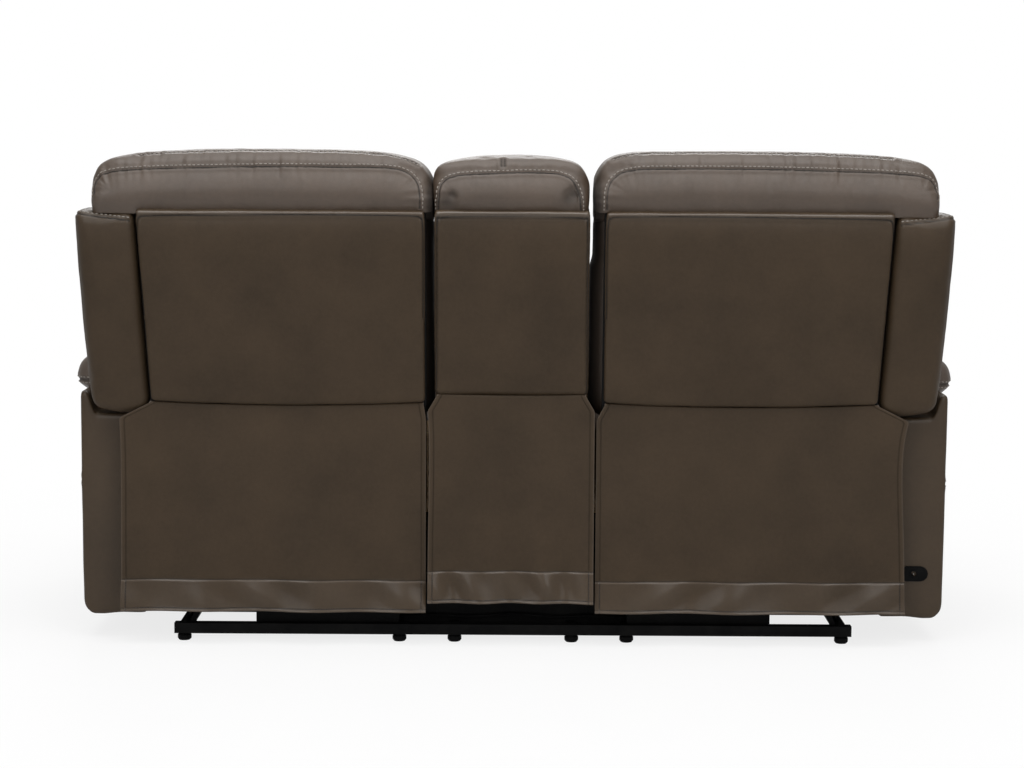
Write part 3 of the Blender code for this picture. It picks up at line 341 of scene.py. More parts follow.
def lattice(low, high, cell):
    """Points and square faces of a box's six sides, as grids of about one cell size."""
    size = [b - a for a, b in zip(low, high)]
    count = [max(2, round(s / cell)) for s in size]
    index, points, faces = {}, [], []

    def at(key):
        if key not in index:
            index[key] = len(points)
            points.append([low[a] + size[a] * key[a] / count[a] for a in range(3)])
        return index[key]

    for axis in range(3):
        b, c = (axis + 1) % 3, (axis + 2) % 3
        for end in (0, count[axis]):
            for i in range(count[b]):
                for j in range(count[c]):
                    ring = []
                    for di, dj in ((0, 0), (1, 0), (1, 1), (0, 1)):
                        key = [0, 0, 0]
                        key[axis], key[b], key[c] = end, i + di, j + dj
                        ring.append(at(tuple(key)))
                    faces.append(ring if end else ring[::-1])
    return np.array(points, float), faces


def placed(name, data):
    """An object put into the scene."""
    made = bpy.data.objects.new(name, data)
    bpy.context.scene.collection.objects.link(made)
    return made


def from_bmesh(name, bm, material):
    """A piece made from a bmesh, which is then freed."""
    mesh = bpy.data.meshes.new(name)
    bm.to_mesh(mesh)
    bm.free()
    mesh.materials.append(material)
    return placed(name, mesh)


def blank_marks(mesh):
    # The seam marks carry painted shade; the other marks carry coat gloss and a painted highlight.
    for mark in ("seam", "rub"):
        mesh.attributes.new(mark, "FLOAT", "POINT")


def as_piece(name, points, faces, material, mirrored=False):
    """A mesh object at the origin, seen smooth, with empty seam marks for painted shade and empty marks for
    gloss and painted highlight.
    """
    mesh = bpy.data.meshes.new(name)
    if mirrored:
        faces = [face[::-1] for face in faces]
    mesh.from_pydata([tuple(p) for p in points], [], faces)
    mesh.shade_smooth()
    mesh.materials.append(material)
    blank_marks(mesh)
    return placed(name, mesh)


def stuffed(name, low, high, radius, cell, side, shape, flat=False, hide=HIDE):
    """A round-edged block of square cells, flat underneath where asked.

    The shape moves its points, given as x, y, z and as u, v, w from -1 to 1 over the block.
    """
    low, high, bend = np.array(low, float), np.array(high, float), np.array(radius, float)
    start = low - bend * (0, 0, 1) if flat else low
    points, faces = lattice(start, high, cell)
    core = np.clip(points, start + bend, high - bend)
    out = (points - core) / bend
    length = np.linalg.norm(out, axis=1, keepdims=True)
    points = core + out / np.where(length > 1e-9, length, 1.0) * bend
    points[:, 2] = np.maximum(points[:, 2], low[2])
    share = (points - (low + high) / 2) / ((high - low) / 2)
    points = np.stack(shape(*points.T, *share.T), axis=1)
    points[:, 0] *= side
    return as_piece(name, points, faces, hide, side < 0)


def coordinates(piece):
    co = np.empty(len(piece.data.vertices) * 3)
    piece.data.vertices.foreach_get("co", co)
    return co.reshape(-1, 3)


def directions(piece):
    normal = np.empty(len(piece.data.vertices) * 3)
    piece.data.vertex_normals.foreach_get("vector", normal)
    return normal.reshape(-1, 3)


def move_to(piece, points):
    piece.data.vertices.foreach_set("co", points.ravel())
    piece.data.update()


def push(piece, shift, chosen=slice(None)):
    """Moves points of a piece in or out along the surface's directions."""
    co = coordinates(piece)
    co[chosen] += directions(piece)[chosen] * shift[:, None]
    move_to(piece, co)


def set_marks(piece, name, values):
    piece.data.attributes[name].data.foreach_set("value", values)


def paint_shade(piece, shade, chosen=slice(None)):
    """Raises the seam marks of points, the painted shade, to a given darkness."""
    seam = np.empty(len(piece.data.vertices))
    piece.data.attributes["seam"].data.foreach_get("value", seam)
    seam[chosen] = np.maximum(seam[chosen], shade)
    set_marks(piece, "seam", seam)


def swell(piece, held, cap):
    """Cloth blown up from inside by a pressure; the held points stay and no point moves past the cap."""
    start = coordinates(piece)
    group = piece.vertex_groups.new(name="held")
    for i in np.flatnonzero(held(start)):
        group.add([int(i)], 1.0, "REPLACE")
    cloth = piece.modifiers.new("cloth", "CLOTH")
    for key, value in CLOTH.items():
        setattr(cloth.settings, key, value)
    cloth.settings.effector_weights.gravity = 0
    cloth.collision_settings.use_collision = False
    cloth.point_cache.frame_start, cloth.point_cache.frame_end = 1, SWELL_FRAMES
    scene = bpy.context.scene
    for step in range(1, SWELL_FRAMES + 1):
        scene.frame_set(step)
    graph = bpy.context.evaluated_depsgraph_get()
    blown = piece.evaluated_get(graph).data
    end = np.empty(len(blown.vertices) * 3)
    blown.vertices.foreach_get("co", end)
    piece.modifiers.clear()
    piece.vertex_groups.clear()
    scene.frame_set(1)
    shift = end.reshape(-1, 3) - start
    far = np.linalg.norm(shift, axis=1, keepdims=True)
    shift *= cap * np.tanh(far / cap) / np.where(far > 1e-9, far, 1.0)
    move_to(piece, start + shift)


def made_mesh(piece):
    """Applies a piece's modifiers to its mesh."""
    graph = bpy.context.evaluated_depsgraph_get()
    mesh = bpy.data.meshes.new_from_object(piece.evaluated_get(graph))
    piece.modifiers.clear()
    old = piece.data
    piece.data = mesh
    bpy.data.meshes.remove(old)
    mesh.name = piece.name


def refine(piece, levels=1):
    divide = piece.modifiers.new("divide", "SUBSURF")
    divide.levels = divide.render_levels = levels
    made_mesh(piece)
    piece.data.shade_smooth()


def eased(piece, width, segments):
    """A bevel on a hard piece's edges."""
    ease = piece.modifiers.new("ease", "BEVEL")
    ease.width, ease.segments, ease.limit_method = width, segments, "ANGLE"
    return ease


def belongs(piece, body, node=None):
    """Ties a piece to the body it rides on and hides the node it stands for."""
    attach(piece, body)
    if node:
        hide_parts(node)


def finish_soft(piece, body, node):
    """The last calls on a padded piece."""
    belongs(piece, body, node)


# Sewing

def spaced(path, step):
    """Points at even steps along a smooth curve through the path, with their distance from its start."""
    path = [Vector(p) for p in path]
    padded = [2 * path[0] - path[1], *path, 2 * path[-1] - path[-2]]
    curve = []
    for a, b, c, d in zip(padded, padded[1:], padded[2:], padded[3:]):
        for i in range(24):
            t = i / 24
            bend = (2 * a - 5 * b + 4 * c - d) * t ** 2 + (3 * (b - c) + d - a) * t ** 3
            curve.append(b + ((c - a) * t + bend) / 2)
    curve = np.array([tuple(p) for p in [*curve, path[-1]]])
    gaps = np.linalg.norm(np.diff(curve, axis=0), axis=1)
    run = np.concatenate([[0.0], np.cumsum(gaps)])
    along = np.linspace(0.0, run[-1], max(2, int(run[-1] / step) + 1))
    return np.stack([np.interp(along, run, curve[:, k]) for k in range(3)], axis=1), along


def surface(piece):
    mesh = piece.data
    return BVHTree.FromPolygons([v.co for v in mesh.vertices], [p.vertices[:] for p in mesh.polygons])


def settled(tree, path, step=0.004, lift=0.0):
    """The path laid on a surface, with the surface's directions there."""
    line, _ = spaced(path, step)
    spots, ways = [], []
    for point in line:
        spot, way, _, _ = tree.find_nearest(Vector(point))
        spots.append(spot + way * lift)
        ways.append(way)
    return spots, ways


def seen_from(tree, points, way):
    """Points on a surface met by looking along a direction from far outside."""
    way = Vector(way)
    hits = []
    for point in points:
        spot, _, _, _ = tree.ray_cast(Vector(point) - way * 2.0, way)
        if spot:
            hits.append(spot)
    return hits


def on_rear(tree, row, side=1):
    """A row, given across and up, laid on a surface seen from behind."""
    return seen_from(tree, [(side * x, 0.0, z) for x, z in row], (0, -1, 0))


def on_front(tree, row, side=1):
    """A row, given across and up, laid on a surface seen from the front."""
    return seen_from(tree, [(side * x, 0.0, z) for x, z in row], (0, 1, 0))


def on_top(tree, row, side=1):
    """A row, given across and to the rear, laid on a surface seen from above."""
    return seen_from(tree, [(side * x, y, 0.0) for x, y in row], (0, 0, -1))


def ripple(along, seed):
    """Uneven waves along a seam, from -1 to 1."""
    waves = ((0.019, 0.9), (0.031, 1.0), (0.053, 0.8))
    turns = 2 * math.pi * along
    total = sum(a * np.sin(turns / w + seed * (3 + 2 * n)) for n, (w, a) in enumerate(waves))
    mask = 0.5 + 0.5 * np.sin(turns / 0.31 + seed * 5.3) * np.sin(turns / 0.17 + seed)
    return total / 2.7 * mask


def along_path(piece, path, far):
    """The points of a piece near a path, with their gap from it and their run along it."""
    line, along = spaced(path, 0.002)
    tree = KDTree(len(line))
    for i, point in enumerate(line):
        tree.insert(point, i)
    tree.balance()
    co = coordinates(piece)
    chosen = np.flatnonzero(np.all((co > line.min(0) - far) & (co < line.max(0) + far), axis=1))
    found = [tree.find(co[i]) for i in chosen]
    return chosen, np.array([f[2] for f in found]), along[[f[1] for f in found]]


def sew(piece, path, depth=0.0035, width=0.0032, puff=0.0012):
    """A seam pressed into the leather along a path, which swells on both sides of it; its crease gets
    painted shade.
    """
    chosen, gap, _ = along_path(piece, path, 8 * width)
    crease = np.exp(-(gap / width) ** 2)
    push(piece, puff * np.exp(-((gap - 3 * width) / (2 * width)) ** 2) - depth * crease, chosen)
    paint_shade(piece, crease, chosen)


def pucker(piece, path, height, reach, seed):
    """Short folds drawn up across a path."""
    chosen, gap, run = along_path(piece, path, 3 * reach)
    push(piece, height * ripple(run, seed) * np.exp(-(gap / reach) ** 2), chosen)


def wrinkle(piece, seed, size=0.0011, scale=13.0):
    """Soft uneven dents all over a stuffed cover."""
    start = Vector((3.7 * seed, 1.9, 0.4))
    stretch = Vector((scale * 1.6, scale * 1.6, scale * 0.7))
    dents = [noise.fractal(Vector(c) * stretch + start, 1.0, 2.0, 3) for c in coordinates(piece)]
    push(piece, np.array(dents) * size)


def dimple(piece, spot, reach, depth):
    """A round hollow, with painted shade in its middle."""
    gap = np.linalg.norm(coordinates(piece) - np.array(spot), axis=1)
    hollow = np.exp(-(gap / reach) ** 2)
    push(piece, -depth * hollow)
    paint_shade(piece, 0.7 * hollow)


# Rows of stitches by body and thread, and each thread's piece name, spacing, length and thickness
ROWS = {}
THREADS = {
    PALE_THREAD.name: ("stitches", STITCH_SPACING, STITCH_LENGTH, STITCH_THICKNESS),
    DARK_THREAD.name: ("fine_stitches", *times(FINE, (STITCH_SPACING, STITCH_LENGTH, STITCH_THICKNESS))),
    # The seam shadow beads are painted shade laid in seam grooves
    SEAM_SHADOW_LINE.name: ("seam_lines", 0.0080, 0.0110, 0.0012),
}


def stitched(body, tree, path, shade=PALE_THREAD, lift=0.0004):
    """A row of stitches along a path on a surface, kept until all the rows of its body are made."""
    spots, _ = settled(tree, path, 0.003, lift)
    ROWS.setdefault((body, shade.name), []).append(spots)


def seam_and_row(piece, body, path, towards, offset=SEAM_OFFSET, second=False, drawn=(0, 0),
                 groove_shadow=False, **sizes):
    """A seam with a row of stitches beside it, on the side that a direction points to, or on both sides."""
    spots, ways = settled(surface(piece), path)
    sew(piece, spots, **sizes)
    if drawn[0]:
        pucker(piece, spots, drawn[0], 0.03, drawn[1])
    tree = surface(piece)
    # Painted shade: a near-black line of beads in the seam's groove.
    if groove_shadow:
        stitched(body, tree, spots[::2], SEAM_SHADOW_LINE, GROOVE_SHADOW_LIFT)
    runs = [after - before for before, after in zip([spots[0], *spots[:-1]], [*spots[1:], spots[-1]])]
    middle = len(runs) // 2
    turn = 1 if runs[middle].cross(ways[middle]).dot(Vector(towards)) > 0 else -1
    for sign in ((turn, -turn) if second else (turn,)):
        row = []
        for spot, way, run in zip(spots, ways, runs):
            row.append(spot + run.cross(way).normalized() * offset * sign)
        stitched(body, tree, row[::2])


def edge_seam(piece, body, row, width, side=1):
    """A closed seam near the edge of a rear face, with a near-black bead line in its groove as painted
    shade.
    """
    tree = surface(piece)
    spots, _ = settled(tree, on_rear(tree, row, side))
    sew(piece, spots, depth=0.0016, width=width)
    stitched(body, surface(piece), spots[::2], SEAM_SHADOW_LINE, GROOVE_SHADOW_LIFT)
    return spots


def stitch_tree():
    """Geometry nodes that lay one stitch at even steps along each line."""
    tree = bpy.data.node_groups.new("stitch_rows", "GeometryNodeTree")
    inputs = {"Lines": "Geometry", "Spacing": "Float", "Length": "Float", "Thickness": "Float"}
    inputs["Thread"] = "Material"
    for name, kind in inputs.items():
        tree.interface.new_socket(name, in_out="INPUT", socket_type="NodeSocket" + kind)
    tree.interface.new_socket("Stitches", in_out="OUTPUT", socket_type="NodeSocketGeometry")
    add = tree.nodes.new
    given, result = add("NodeGroupInput"), add("NodeGroupOutput")
    curve, even = add("GeometryNodeMeshToCurve"), add("GeometryNodeResampleCurve")
    points, lay = add("GeometryNodeCurveToPoints"), add("GeometryNodeInstanceOnPoints")
    bead, turn = add("GeometryNodeMeshUVSphere"), add("FunctionNodeAlignRotationToVector")
    size, real = add("ShaderNodeCombineXYZ"), add("GeometryNodeRealizeInstances")
    paint, smooth = add("GeometryNodeSetMaterial"), add("GeometryNodeSetShadeSmooth")
    even.mode, points.mode, turn.axis = "LENGTH", "EVALUATED", "X"
    for name, value in (("Segments", 6), ("Rings", 5), ("Radius", 0.5)):
        bead.inputs[name].default_value = value
    for start, outlet, end, inlet in (
        (given, "Lines", curve, "Mesh"), (curve, "Curve", even, "Curve"),
        (given, "Spacing", even, "Length"), (even, "Curve", points, "Curve"),
        (points, "Points", lay, "Points"), (points, "Tangent", turn, "Vector"),
        (turn, "Rotation", lay, "Rotation"), (bead, "Mesh", lay, "Instance"),
        (given, "Length", size, "X"), (given, "Thickness", size, "Y"), (given, "Thickness", size, "Z"),
        (size, "Vector", lay, "Scale"), (lay, "Instances", real, "Geometry"),
        (real, "Geometry", smooth, "Geometry"), (smooth, "Geometry", paint, "Geometry"),
        (given, "Thread", paint, "Material"), (paint, "Geometry", result, "Stitches"),
    ):
        tree.links.new(start.outputs[outlet], end.inputs[inlet])
    return tree


def lay_stitches():
    """All the rows of stitches, one piece for each body and thread."""
    tree = stitch_tree()
    names = {s.name: s.identifier for s in tree.interface.items_tree if s.in_out == "INPUT"}
    for (body, shade), rows in ROWS.items():
        kind, *sizes = THREADS[shade]
        points, edges = [], []
        for row in rows:
            first = len(points)
            points += [tuple(p) for p in row]
            edges += [(first + i, first + i + 1) for i in range(len(row) - 1)]
        mesh = bpy.data.meshes.new(f"{body}_{kind}")
        mesh.from_pydata(points, edges, [])
        piece = placed(mesh.name, mesh)
        nodes = piece.modifiers.new("stitches", "NODES")
        nodes.node_group = tree
        for name, value in zip(("Spacing", "Length", "Thickness"), sizes):
            nodes[names[name]] = value
        nodes[names["Thread"]] = bpy.data.materials[shade]
        made_mesh(piece)
        belongs(piece, body)


# Pieces seen from behind

def corner_drop(gap, wide, tall):
    """How far a long shoulder falls at a distance in from its end."""
    return tall * (0.55 * np.exp(-3.6 * gap / wide) + 0.45 * np.exp(-gap / wide))


def pillow_roll(y, z, v, low, high, lift):
    """A top pillow's rear: tucked in at the panel, sloping to the seam, upright above it, level on top."""
    rise = np.clip((z - low[2]) / (high[2] - low[2]), 0.0, 1.0)
    tuck = 0.010 * (1 - smooth_step(rise, 0.0, 0.25))
    slope = 0.030 * np.clip((rise - 0.22) / 0.51, 0.0, 1.0) ** 1.8
    slope = slope + 0.003 * np.clip((rise - 0.73) / 0.27, 0.0, 1.0)
    y = y - (tuck + slope) * np.clip(v, 0, 1)
    level = math.tan(LEAN) * y * smooth_step(rise, 0.45, 1.0)
    hang = 0.030 * smooth_step(-y, -0.010, 0.020) * (1 - smooth_step(rise, 0.0, 0.5))
    return y, z + lift * rise ** 1.3 + level - hang, rise


def top_pillow(name, low, high, bend, side, shape):
    """A pillow over a back, blown up and held along its underside."""
    piece = stuffed(name, low, high, (0.020, 0.030, bend), 0.010, side, shape, flat=True)
    floor = leaned(0.0, 0.05, low[2])[2]
    swell(piece, lambda co: co[:, 2] < floor + 0.016, 0.004)
    refine(piece, 2)
    return piece


def crest_line(tree, along):
    """A line just behind the highest places of a pillow."""
    line = []
    for x in along:
        spots = on_top(tree, [(x, y) for y in np.linspace(0.36, 0.52, 33)])
        line += on_rear(tree, [(x, max(spot.z for spot in spots) - 0.0040)])
    return line


HEADREST_SEAM = [
    (0.9255, 1.020), (0.9240, 1.041), (0.9150, 1.0570), (0.9000, 1.0665), (0.872, 1.0720),
    (0.80, 1.0770), (0.70, 1.0800), (0.548, 1.0830), (0.38, 1.0830), (0.290, 1.0820),
    (0.2420, 1.0755), (0.2180, 1.0600), (0.2078, 1.0440), (0.2040, 1.020), (0.2040, 0.994),
]
HEADREST_BAND = [(0.86, 1.088), (0.78, 1.094), (0.66, 1.0985), (0.50, 1.100), (0.36, 1.0985), (0.28, 1.094)]
HEADREST_CREST = (0.215, 0.245, 0.30, 0.48, 0.62, 0.76, 0.83)


def headrest(tag, side):
    """Long pillow over the back: round shoulders, a boxed band on top and a sewn rear face."""
    inner, inward = (0.1815, 0.006) if side > 0 else (0.1755, -0.003)
    low, high = (inner, -0.140, 0.5050), (0.9350, 0.0525, 0.6300)

    def shape(x, y, z, u, v, w):
        outer = 0.041 * np.exp((x - high[0]) / 0.018)
        outer = outer + 0.013 * np.exp(-(np.maximum(high[0] - x, 0.0) / 0.16) ** 1.5)
        within = corner_drop(x - low[0], 0.060, 0.062) if side > 0 else 0.050 * np.exp((low[0] - x) / 0.020)
        drop = np.maximum(outer, within)
        bow = 0.004 * np.sin(np.clip((x - low[0]) / (high[0] - low[0]), 0, 1) * math.pi)
        y, z, rise = pillow_roll(y, z, v, low, high, bow - drop)
        over_wing = 0.0060 * smooth_step(x, 0.822, 0.836) * (1 - smooth_step(rise, 0.0, 0.5))
        return leaned(x, y, z - over_wing)

    piece = top_pillow(tag + "_headrest_cover", low, high, 0.024, side, shape)
    body, tree = tag + "_back", surface(piece)
    crest = crest_line(tree, [side * x for x in HEADREST_CREST])
    band = on_rear(tree, HEADREST_BAND, side)
    row = [(x + inward * (1 - smooth_step(x, 0.24, 0.32)), z) for x, z in HEADREST_SEAM]
    rear = on_rear(tree, row, side)
    pucker(piece, band, 0.0013, 0.018, 1.3 + side)
    seam_and_row(piece, body, rear, (0, -0.3, 1), drawn=(0.0024, 2.2 + side), **PILLOW_SEAM)
    seam_and_row(piece, body, crest, (0, 1, 0), drawn=(0.0012, 4.1 + side), offset=0.002, depth=0.0008)
    x, _, z = coordinates(piece).T
    # Painted shade in the narrow gap at the inner end, lighter towards the top.
    shade = 0.9 * (1 - smooth_step(np.abs(x), inner + 0.007, inner + 0.024))
    paint_shade(piece, shade * (1 - 0.5 * smooth_step(z, 1.02, 1.08)))
    wrinkle(piece, side)
    finish_soft(piece, body, tag + "_headrest")


CONSOLE_SEAM = [
    (0.170, 0.992), (0.169, 1.018), (0.164, 1.043), (0.153, 1.0565), (0.133, 1.0640),
    (0.100, 1.0685), (0.040, 1.0710), (-0.020, 1.0730), (-0.071, 1.0725), (-0.098, 1.069),
    (-0.119, 1.061), (-0.132, 1.046), (-0.140, 1.026), (-0.144, 0.992),
]
CONSOLE_BAND = ((0.13, 1.079), (0.07, 1.086), (0.0, 1.088), (-0.07, 1.087), (-0.11, 1.080))
CONSOLE_PINCHES, PINCH_ROW = (0.024, 0.031), (1.087, 1.092, 1.097, 1.102)
CONSOLE_DIMPLES = [(0.150, 1.006, 0.020), (0.140, 1.022, 0.012)]
CONSOLE_DIMPLES += [(-0.128, 1.028, 0.016), (-0.120, 1.016, 0.020)]


def console_top():
    """Short pillow over the console's back."""
    low, high = (-0.1625, -0.0975, 0.5050), (0.1800, 0.0525, 0.6240)

    def shape(x, y, z, u, v, w):
        drop = np.maximum(0.0215 * np.exp((x - high[0]) / 0.052), corner_drop(x - low[0], 0.042, 0.046))
        y, z, _ = pillow_roll(y, z, v, low, high, -drop)
        return leaned(x, y, z)

    piece = top_pillow("console_top_cover", low, high, 0.026, 1, shape)
    tree = surface(piece)
    rear = on_rear(tree, CONSOLE_SEAM)
    pucker(piece, on_rear(tree, CONSOLE_BAND), 0.0016, 0.014, 2.6)
    seam_and_row(piece, "base", rear, (0, -0.3, 1), drawn=(0.0018, 2.2), **PILLOW_SEAM)
    tree = surface(piece)
    for x in CONSOLE_PINCHES:
        sew(piece, on_rear(tree, [(x, z) for z in PINCH_ROW]), depth=0.0030, width=0.0026, puff=0.0008)
    for x, z, reach in CONSOLE_DIMPLES:
        for spot in on_rear(tree, [(x, z)]):
            dimple(piece, spot, reach, 0.007)
    wrinkle(piece, 0.5)
    finish_soft(piece, "base", "console_top_cushion")


def sag(x, ends, depth):
    """How far a sewn edge sags between its ends."""
    share = np.clip((x - ends[0]) / (ends[1] - ends[0]), 0.0, 1.0)
    return depth * np.sin(share * math.pi) ** 0.8


def paint_strip_highlight(piece, seam=0.9770, strength=0.9):
    """Paints a highlight on the strip over the seam at a back's top and a fainter one fading down below the
    seam; the marks also give the coat more gloss.
    """
    above = coordinates(piece)[:, 2] - seam
    below = 0.35 * np.exp(np.minimum(above, 0.0) / 0.020) * (above < 0)
    set_marks(piece, "rub", strength * smooth_step(above, -0.001, 0.004) + below)


PANEL_SEAM = [
    (0.2035, 0.560), (0.2030, 0.75), (0.2030, 0.90), (0.2045, 0.963), (0.2125, 0.9745),
    (0.235, 0.9775), (0.40, 0.9785), (0.60, 0.9775), (0.800, 0.9745), (0.824, 0.9715),
    (0.8315, 0.960), (0.8310, 0.90), (0.8235, 0.75), (0.8140, 0.560),
]


def back_panel(tag, side):
    """Stretched leather rear of a seat back, sewn round its edge."""
    low = (PANEL_IN, FRAME_REAR + 0.0005, BACK_BOTTOM + 0.001)
    high = (SEAT_OUT - 0.002, BACK_REAR, BACK_TOP + 0.004)

    def shape(x, y, z, u, v, w):
        x = x - (x - low[0]) / (high[0] - low[0]) * (SEAT_OUT + 0.001 - outer_edge(z))
        below = high[2] - 0.0125 - z
        roll = 0.012 * smooth_step(-below, -0.0015, 0.0015) * (1 - 0.9 * np.clip(-below / 0.0125, 0.0, 1.0))
        full = 0.005 * (1 - u ** 4) * (1 - w ** 4) - 0.005 * np.exp(-np.abs(below) / 0.014)
        y = y + (full + roll) * smooth_step(y, low[1], high[1])
        z = z - sag(x, (PANEL_IN, 0.818), 0.009) * smooth_step(-z, -BACK_BOTTOM - 0.06, -BACK_BOTTOM)
        return leaned(x, y, z)

    name, radius = tag + "_back_panel_cover", (0.008, 0.008, 0.010)
    piece = stuffed(name, low, high, radius, 0.0065, side, shape, hide=BACK_HIDE)
    refine(piece)
    spots = edge_seam(piece, tag + "_back", PANEL_SEAM, 0.0017, side)
    pucker(piece, spots, 0.0006, 0.02, 0.7 + side)
    # Painted highlight on the strip over the top seam.
    paint_strip_highlight(piece)
    wrinkle(piece, side + 4.0, 0.0012, 5.0)
    finish_soft(piece, tag + "_back", tag + "_back_panel")


WING_SEAM = [(0.9640, 0.9770), (0.940, 0.9740), (0.905, 0.9700), (0.870, 0.9660), (0.850, 0.9630)]


def wing(tag, side):
    """Side bolster of a seat back, with a sewn cap on its top."""
    low, high = (0.0015, -0.0700, 0.0385), (0.1335, 0.0372, 0.5070)

    def shape(x, y, z, u, v, w):
        y = y + 0.006 * v * (1 - u ** 2) * (1 - w ** 6)
        y = y + 0.011 * np.clip(v, 0, 1) * smooth_step(z, 0.12, 0.42)
        level = np.clip((high[1] - y) / (high[1] - low[1]), 0, 1) * smooth_step(z, 0.40, high[2])
        lower = smooth_step(-z, -0.125, -0.050)
        from_low = u + 0.3
        z = z - 0.013 * level + lower * np.where(from_low > 0, 0.009, 0.034) * from_low ** 2
        x = x + 0.004 * np.clip(u, 0, 1) * (1 - w ** 2)
        return leaned(outer_edge(z) + 0.0012 + x, y, z)

    radius = (0.017, 0.026, 0.024)
    piece = stuffed(tag + "_wing_cover", low, high, radius, 0.008, side, shape, hide=BACK_HIDE)
    swell(piece, lambda co: np.abs(co[:, 0]) < SEAT_OUT + 0.012, 0.003)
    refine(piece)
    rear = on_rear(surface(piece), WING_SEAM, side)
    cap = [Vector((side * 0.972, 0.450, 0.9760)), Vector((side * 0.971, 0.475, 0.9770)), *rear]
    seam_and_row(piece, tag + "_back", cap, (0, -0.2, 1), offset=0.0070, drawn=(0.0008, 3.0 + side),
                 groove_shadow=True, depth=0.0016, width=0.0018)
    # A weaker painted highlight on the cap over the seam.
    paint_strip_highlight(piece, 0.967 + 0.10 * (np.abs(coordinates(piece)[:, 0]) - 0.87), 0.4)
    wrinkle(piece, side + 8.0, 0.0014, 7.0)
    finish_soft(piece, tag + "_back", tag + "_wing")


# Steps in from a flap's side edge, close together where it is doubled
FLAP_RIM = np.array([0.0, 0.0012, 0.0026, 0.0045, 0.0070, 0.0092, 0.0104, 0.0116, 0.0135])


def flap_sheet(name, cut, side, lag, sag_depth, wave):
    """Leather sheet on a bead: wider below its shoulders, soft folds towards a doubled, sewn hem, with
    painted shade along its sewn lines and painted highlights on its edges, hem and lip.
    """
    edges, axis, bottom = cut
    top, hem = axis[1] + 0.0035, bottom + FLAP_HEM
    rim = FLAP_RIM / (edges[1][1] - edges[0][1])
    u = np.concatenate([rim, np.linspace(rim[-1], 1 - rim[-1], 141)[1:-1], 1 - rim[::-1]])
    levels = np.concatenate([np.linspace(top, hem + 0.004, 78), np.linspace(hem + 0.0012, bottom, 30)])
    points, seam_shade_lines, gloss_and_highlight_marks = [], [], []
    for z in levels:
        drop = np.clip((axis[1] - z) / 0.035, 0.0, 1.0)
        v = np.clip((axis[1] - 0.035 - z) / (axis[1] - 0.035 - bottom), 0.0, 1.0)
        a = edges[0][0] + (edges[0][1] - edges[0][0]) * drop
        b = edges[1][0] + (edges[1][1] - edges[1][0]) * drop - wave * np.sin(math.pi * math.sqrt(v)) ** 2
        x = a + (b - a) * u
        lowered = z - sag(u, (0.0, 1.0), sag_depth) * (1 - v) ** 3
        y = axis[0] + 0.006 * v ** 2 * np.sin(2 * math.pi * 3 * u + lag)
        y = y + 0.0026 * v * np.sin(2 * math.pi * (1.5 * u + 0.6 * v) + 2.1 * lag)
        in_hem = np.clip((hem + 0.006 - z) / 0.076, 0.0, 1.0)
        slant = np.sin(2 * math.pi * (4.3 * u + 1.3 * lag) + 24.0 * (hem - z))
        slant = slant * (0.55 + 0.45 * np.sin(11.0 * u + 3 * lag))
        y = y + 0.0058 * math.sin(math.pi * in_hem) * slant + 0.013 * in_hem ** 1.2
        from_edge = np.minimum(x - a, b - x)
        lip = np.exp(-((z - bottom - 0.0025) / 0.0030) ** 2)
        y = y + 0.0016 * (z < hem) + 0.0011 * (from_edge < 0.0100) + 0.0018 * lip
        points.append(np.stack([side * x, y, np.broadcast_to(lowered, x.shape)], axis=1))
        # Painted shade: dark lines in the leather along the hem seam, the bottom row of stitches and the
        # side rows.
        hem_line = 0.8 * np.exp(-((z - hem - 0.0016) / 0.0016) ** 2)
        low_line = 0.6 * np.exp(-((z - bottom - 0.0075) / 0.0015) ** 2)
        side_line = 0.6 * np.exp(-((from_edge - 0.0106) / 0.0014) ** 2)
        seam_shade_lines.append(np.maximum(side_line, max(hem_line, low_line)))
        # Painted highlights on the hem's top fold, the bottom lip, the hem's slanting folds and along each
        # side edge; these marks also give more coat gloss.
        fold_highlight = 0.9 * np.exp(-((z - hem + 0.0016) / 0.0020) ** 2) + 0.8 * lip
        sheen = (z < hem) * (0.34 + 0.22 * slant * math.sin(math.pi * in_hem))
        gloss_and_highlight_marks.append(0.62 * np.maximum(0.8 * np.exp(-(from_edge / 0.0022) ** 2), fold_highlight + sheen))
    wide = len(u)
    corners = [i * wide + j for i in range(len(levels) - 1) for j in range(wide - 1)]
    faces = [[k, k + wide, k + wide + 1, k + 1] for k in corners]
    piece = as_piece(name, np.concatenate(points), faces, BACK_HIDE, side > 0)
    set_marks(piece, "seam", np.concatenate(seam_shade_lines))
    set_marks(piece, "rub", np.concatenate(gloss_and_highlight_marks))
    shell = piece.modifiers.new("thickness", "SOLIDIFY")
    shell.thickness, shell.offset = 0.0026, -1.0
    made_mesh(piece)
    piece.data.shade_smooth()
    return piece


def flap_area(cut):
    """Flat size and area of a flap's cut."""
    edges, axis, bottom = cut
    top_wide, low_wide = edges[1][0] - edges[0][0], edges[1][1] - edges[0][1]
    tall, shoulder = axis[1] + 0.0035 - bottom, 0.0385
    area = (top_wide + low_wide) / 2 * shoulder + low_wide * (tall - shoulder)
    return (max(top_wide, low_wide), tall), area


def sew_flap(piece, body, cut, side):
    """Fine rows of stitches above the bottom and inside the sides of a flap."""
    tree = surface(piece)
    edges, _, bottom = cut
    a, b, hem = edges[0][1], edges[1][1], bottom + FLAP_HEM
    rows = [[(a + (b - a) * i / 24, bottom + 0.0075) for i in range(1, 24)]]
    for x in (a + 0.0105, b - 0.0105):
        rows.append([(x, bottom + 0.012 + (hem - bottom - 0.016) * i / 6) for i in range(7)])
    for row in rows:
        spots = on_rear(tree, row, side)
        if len(spots) > 2:
            stitched(body, tree, spots, DARK_THREAD)


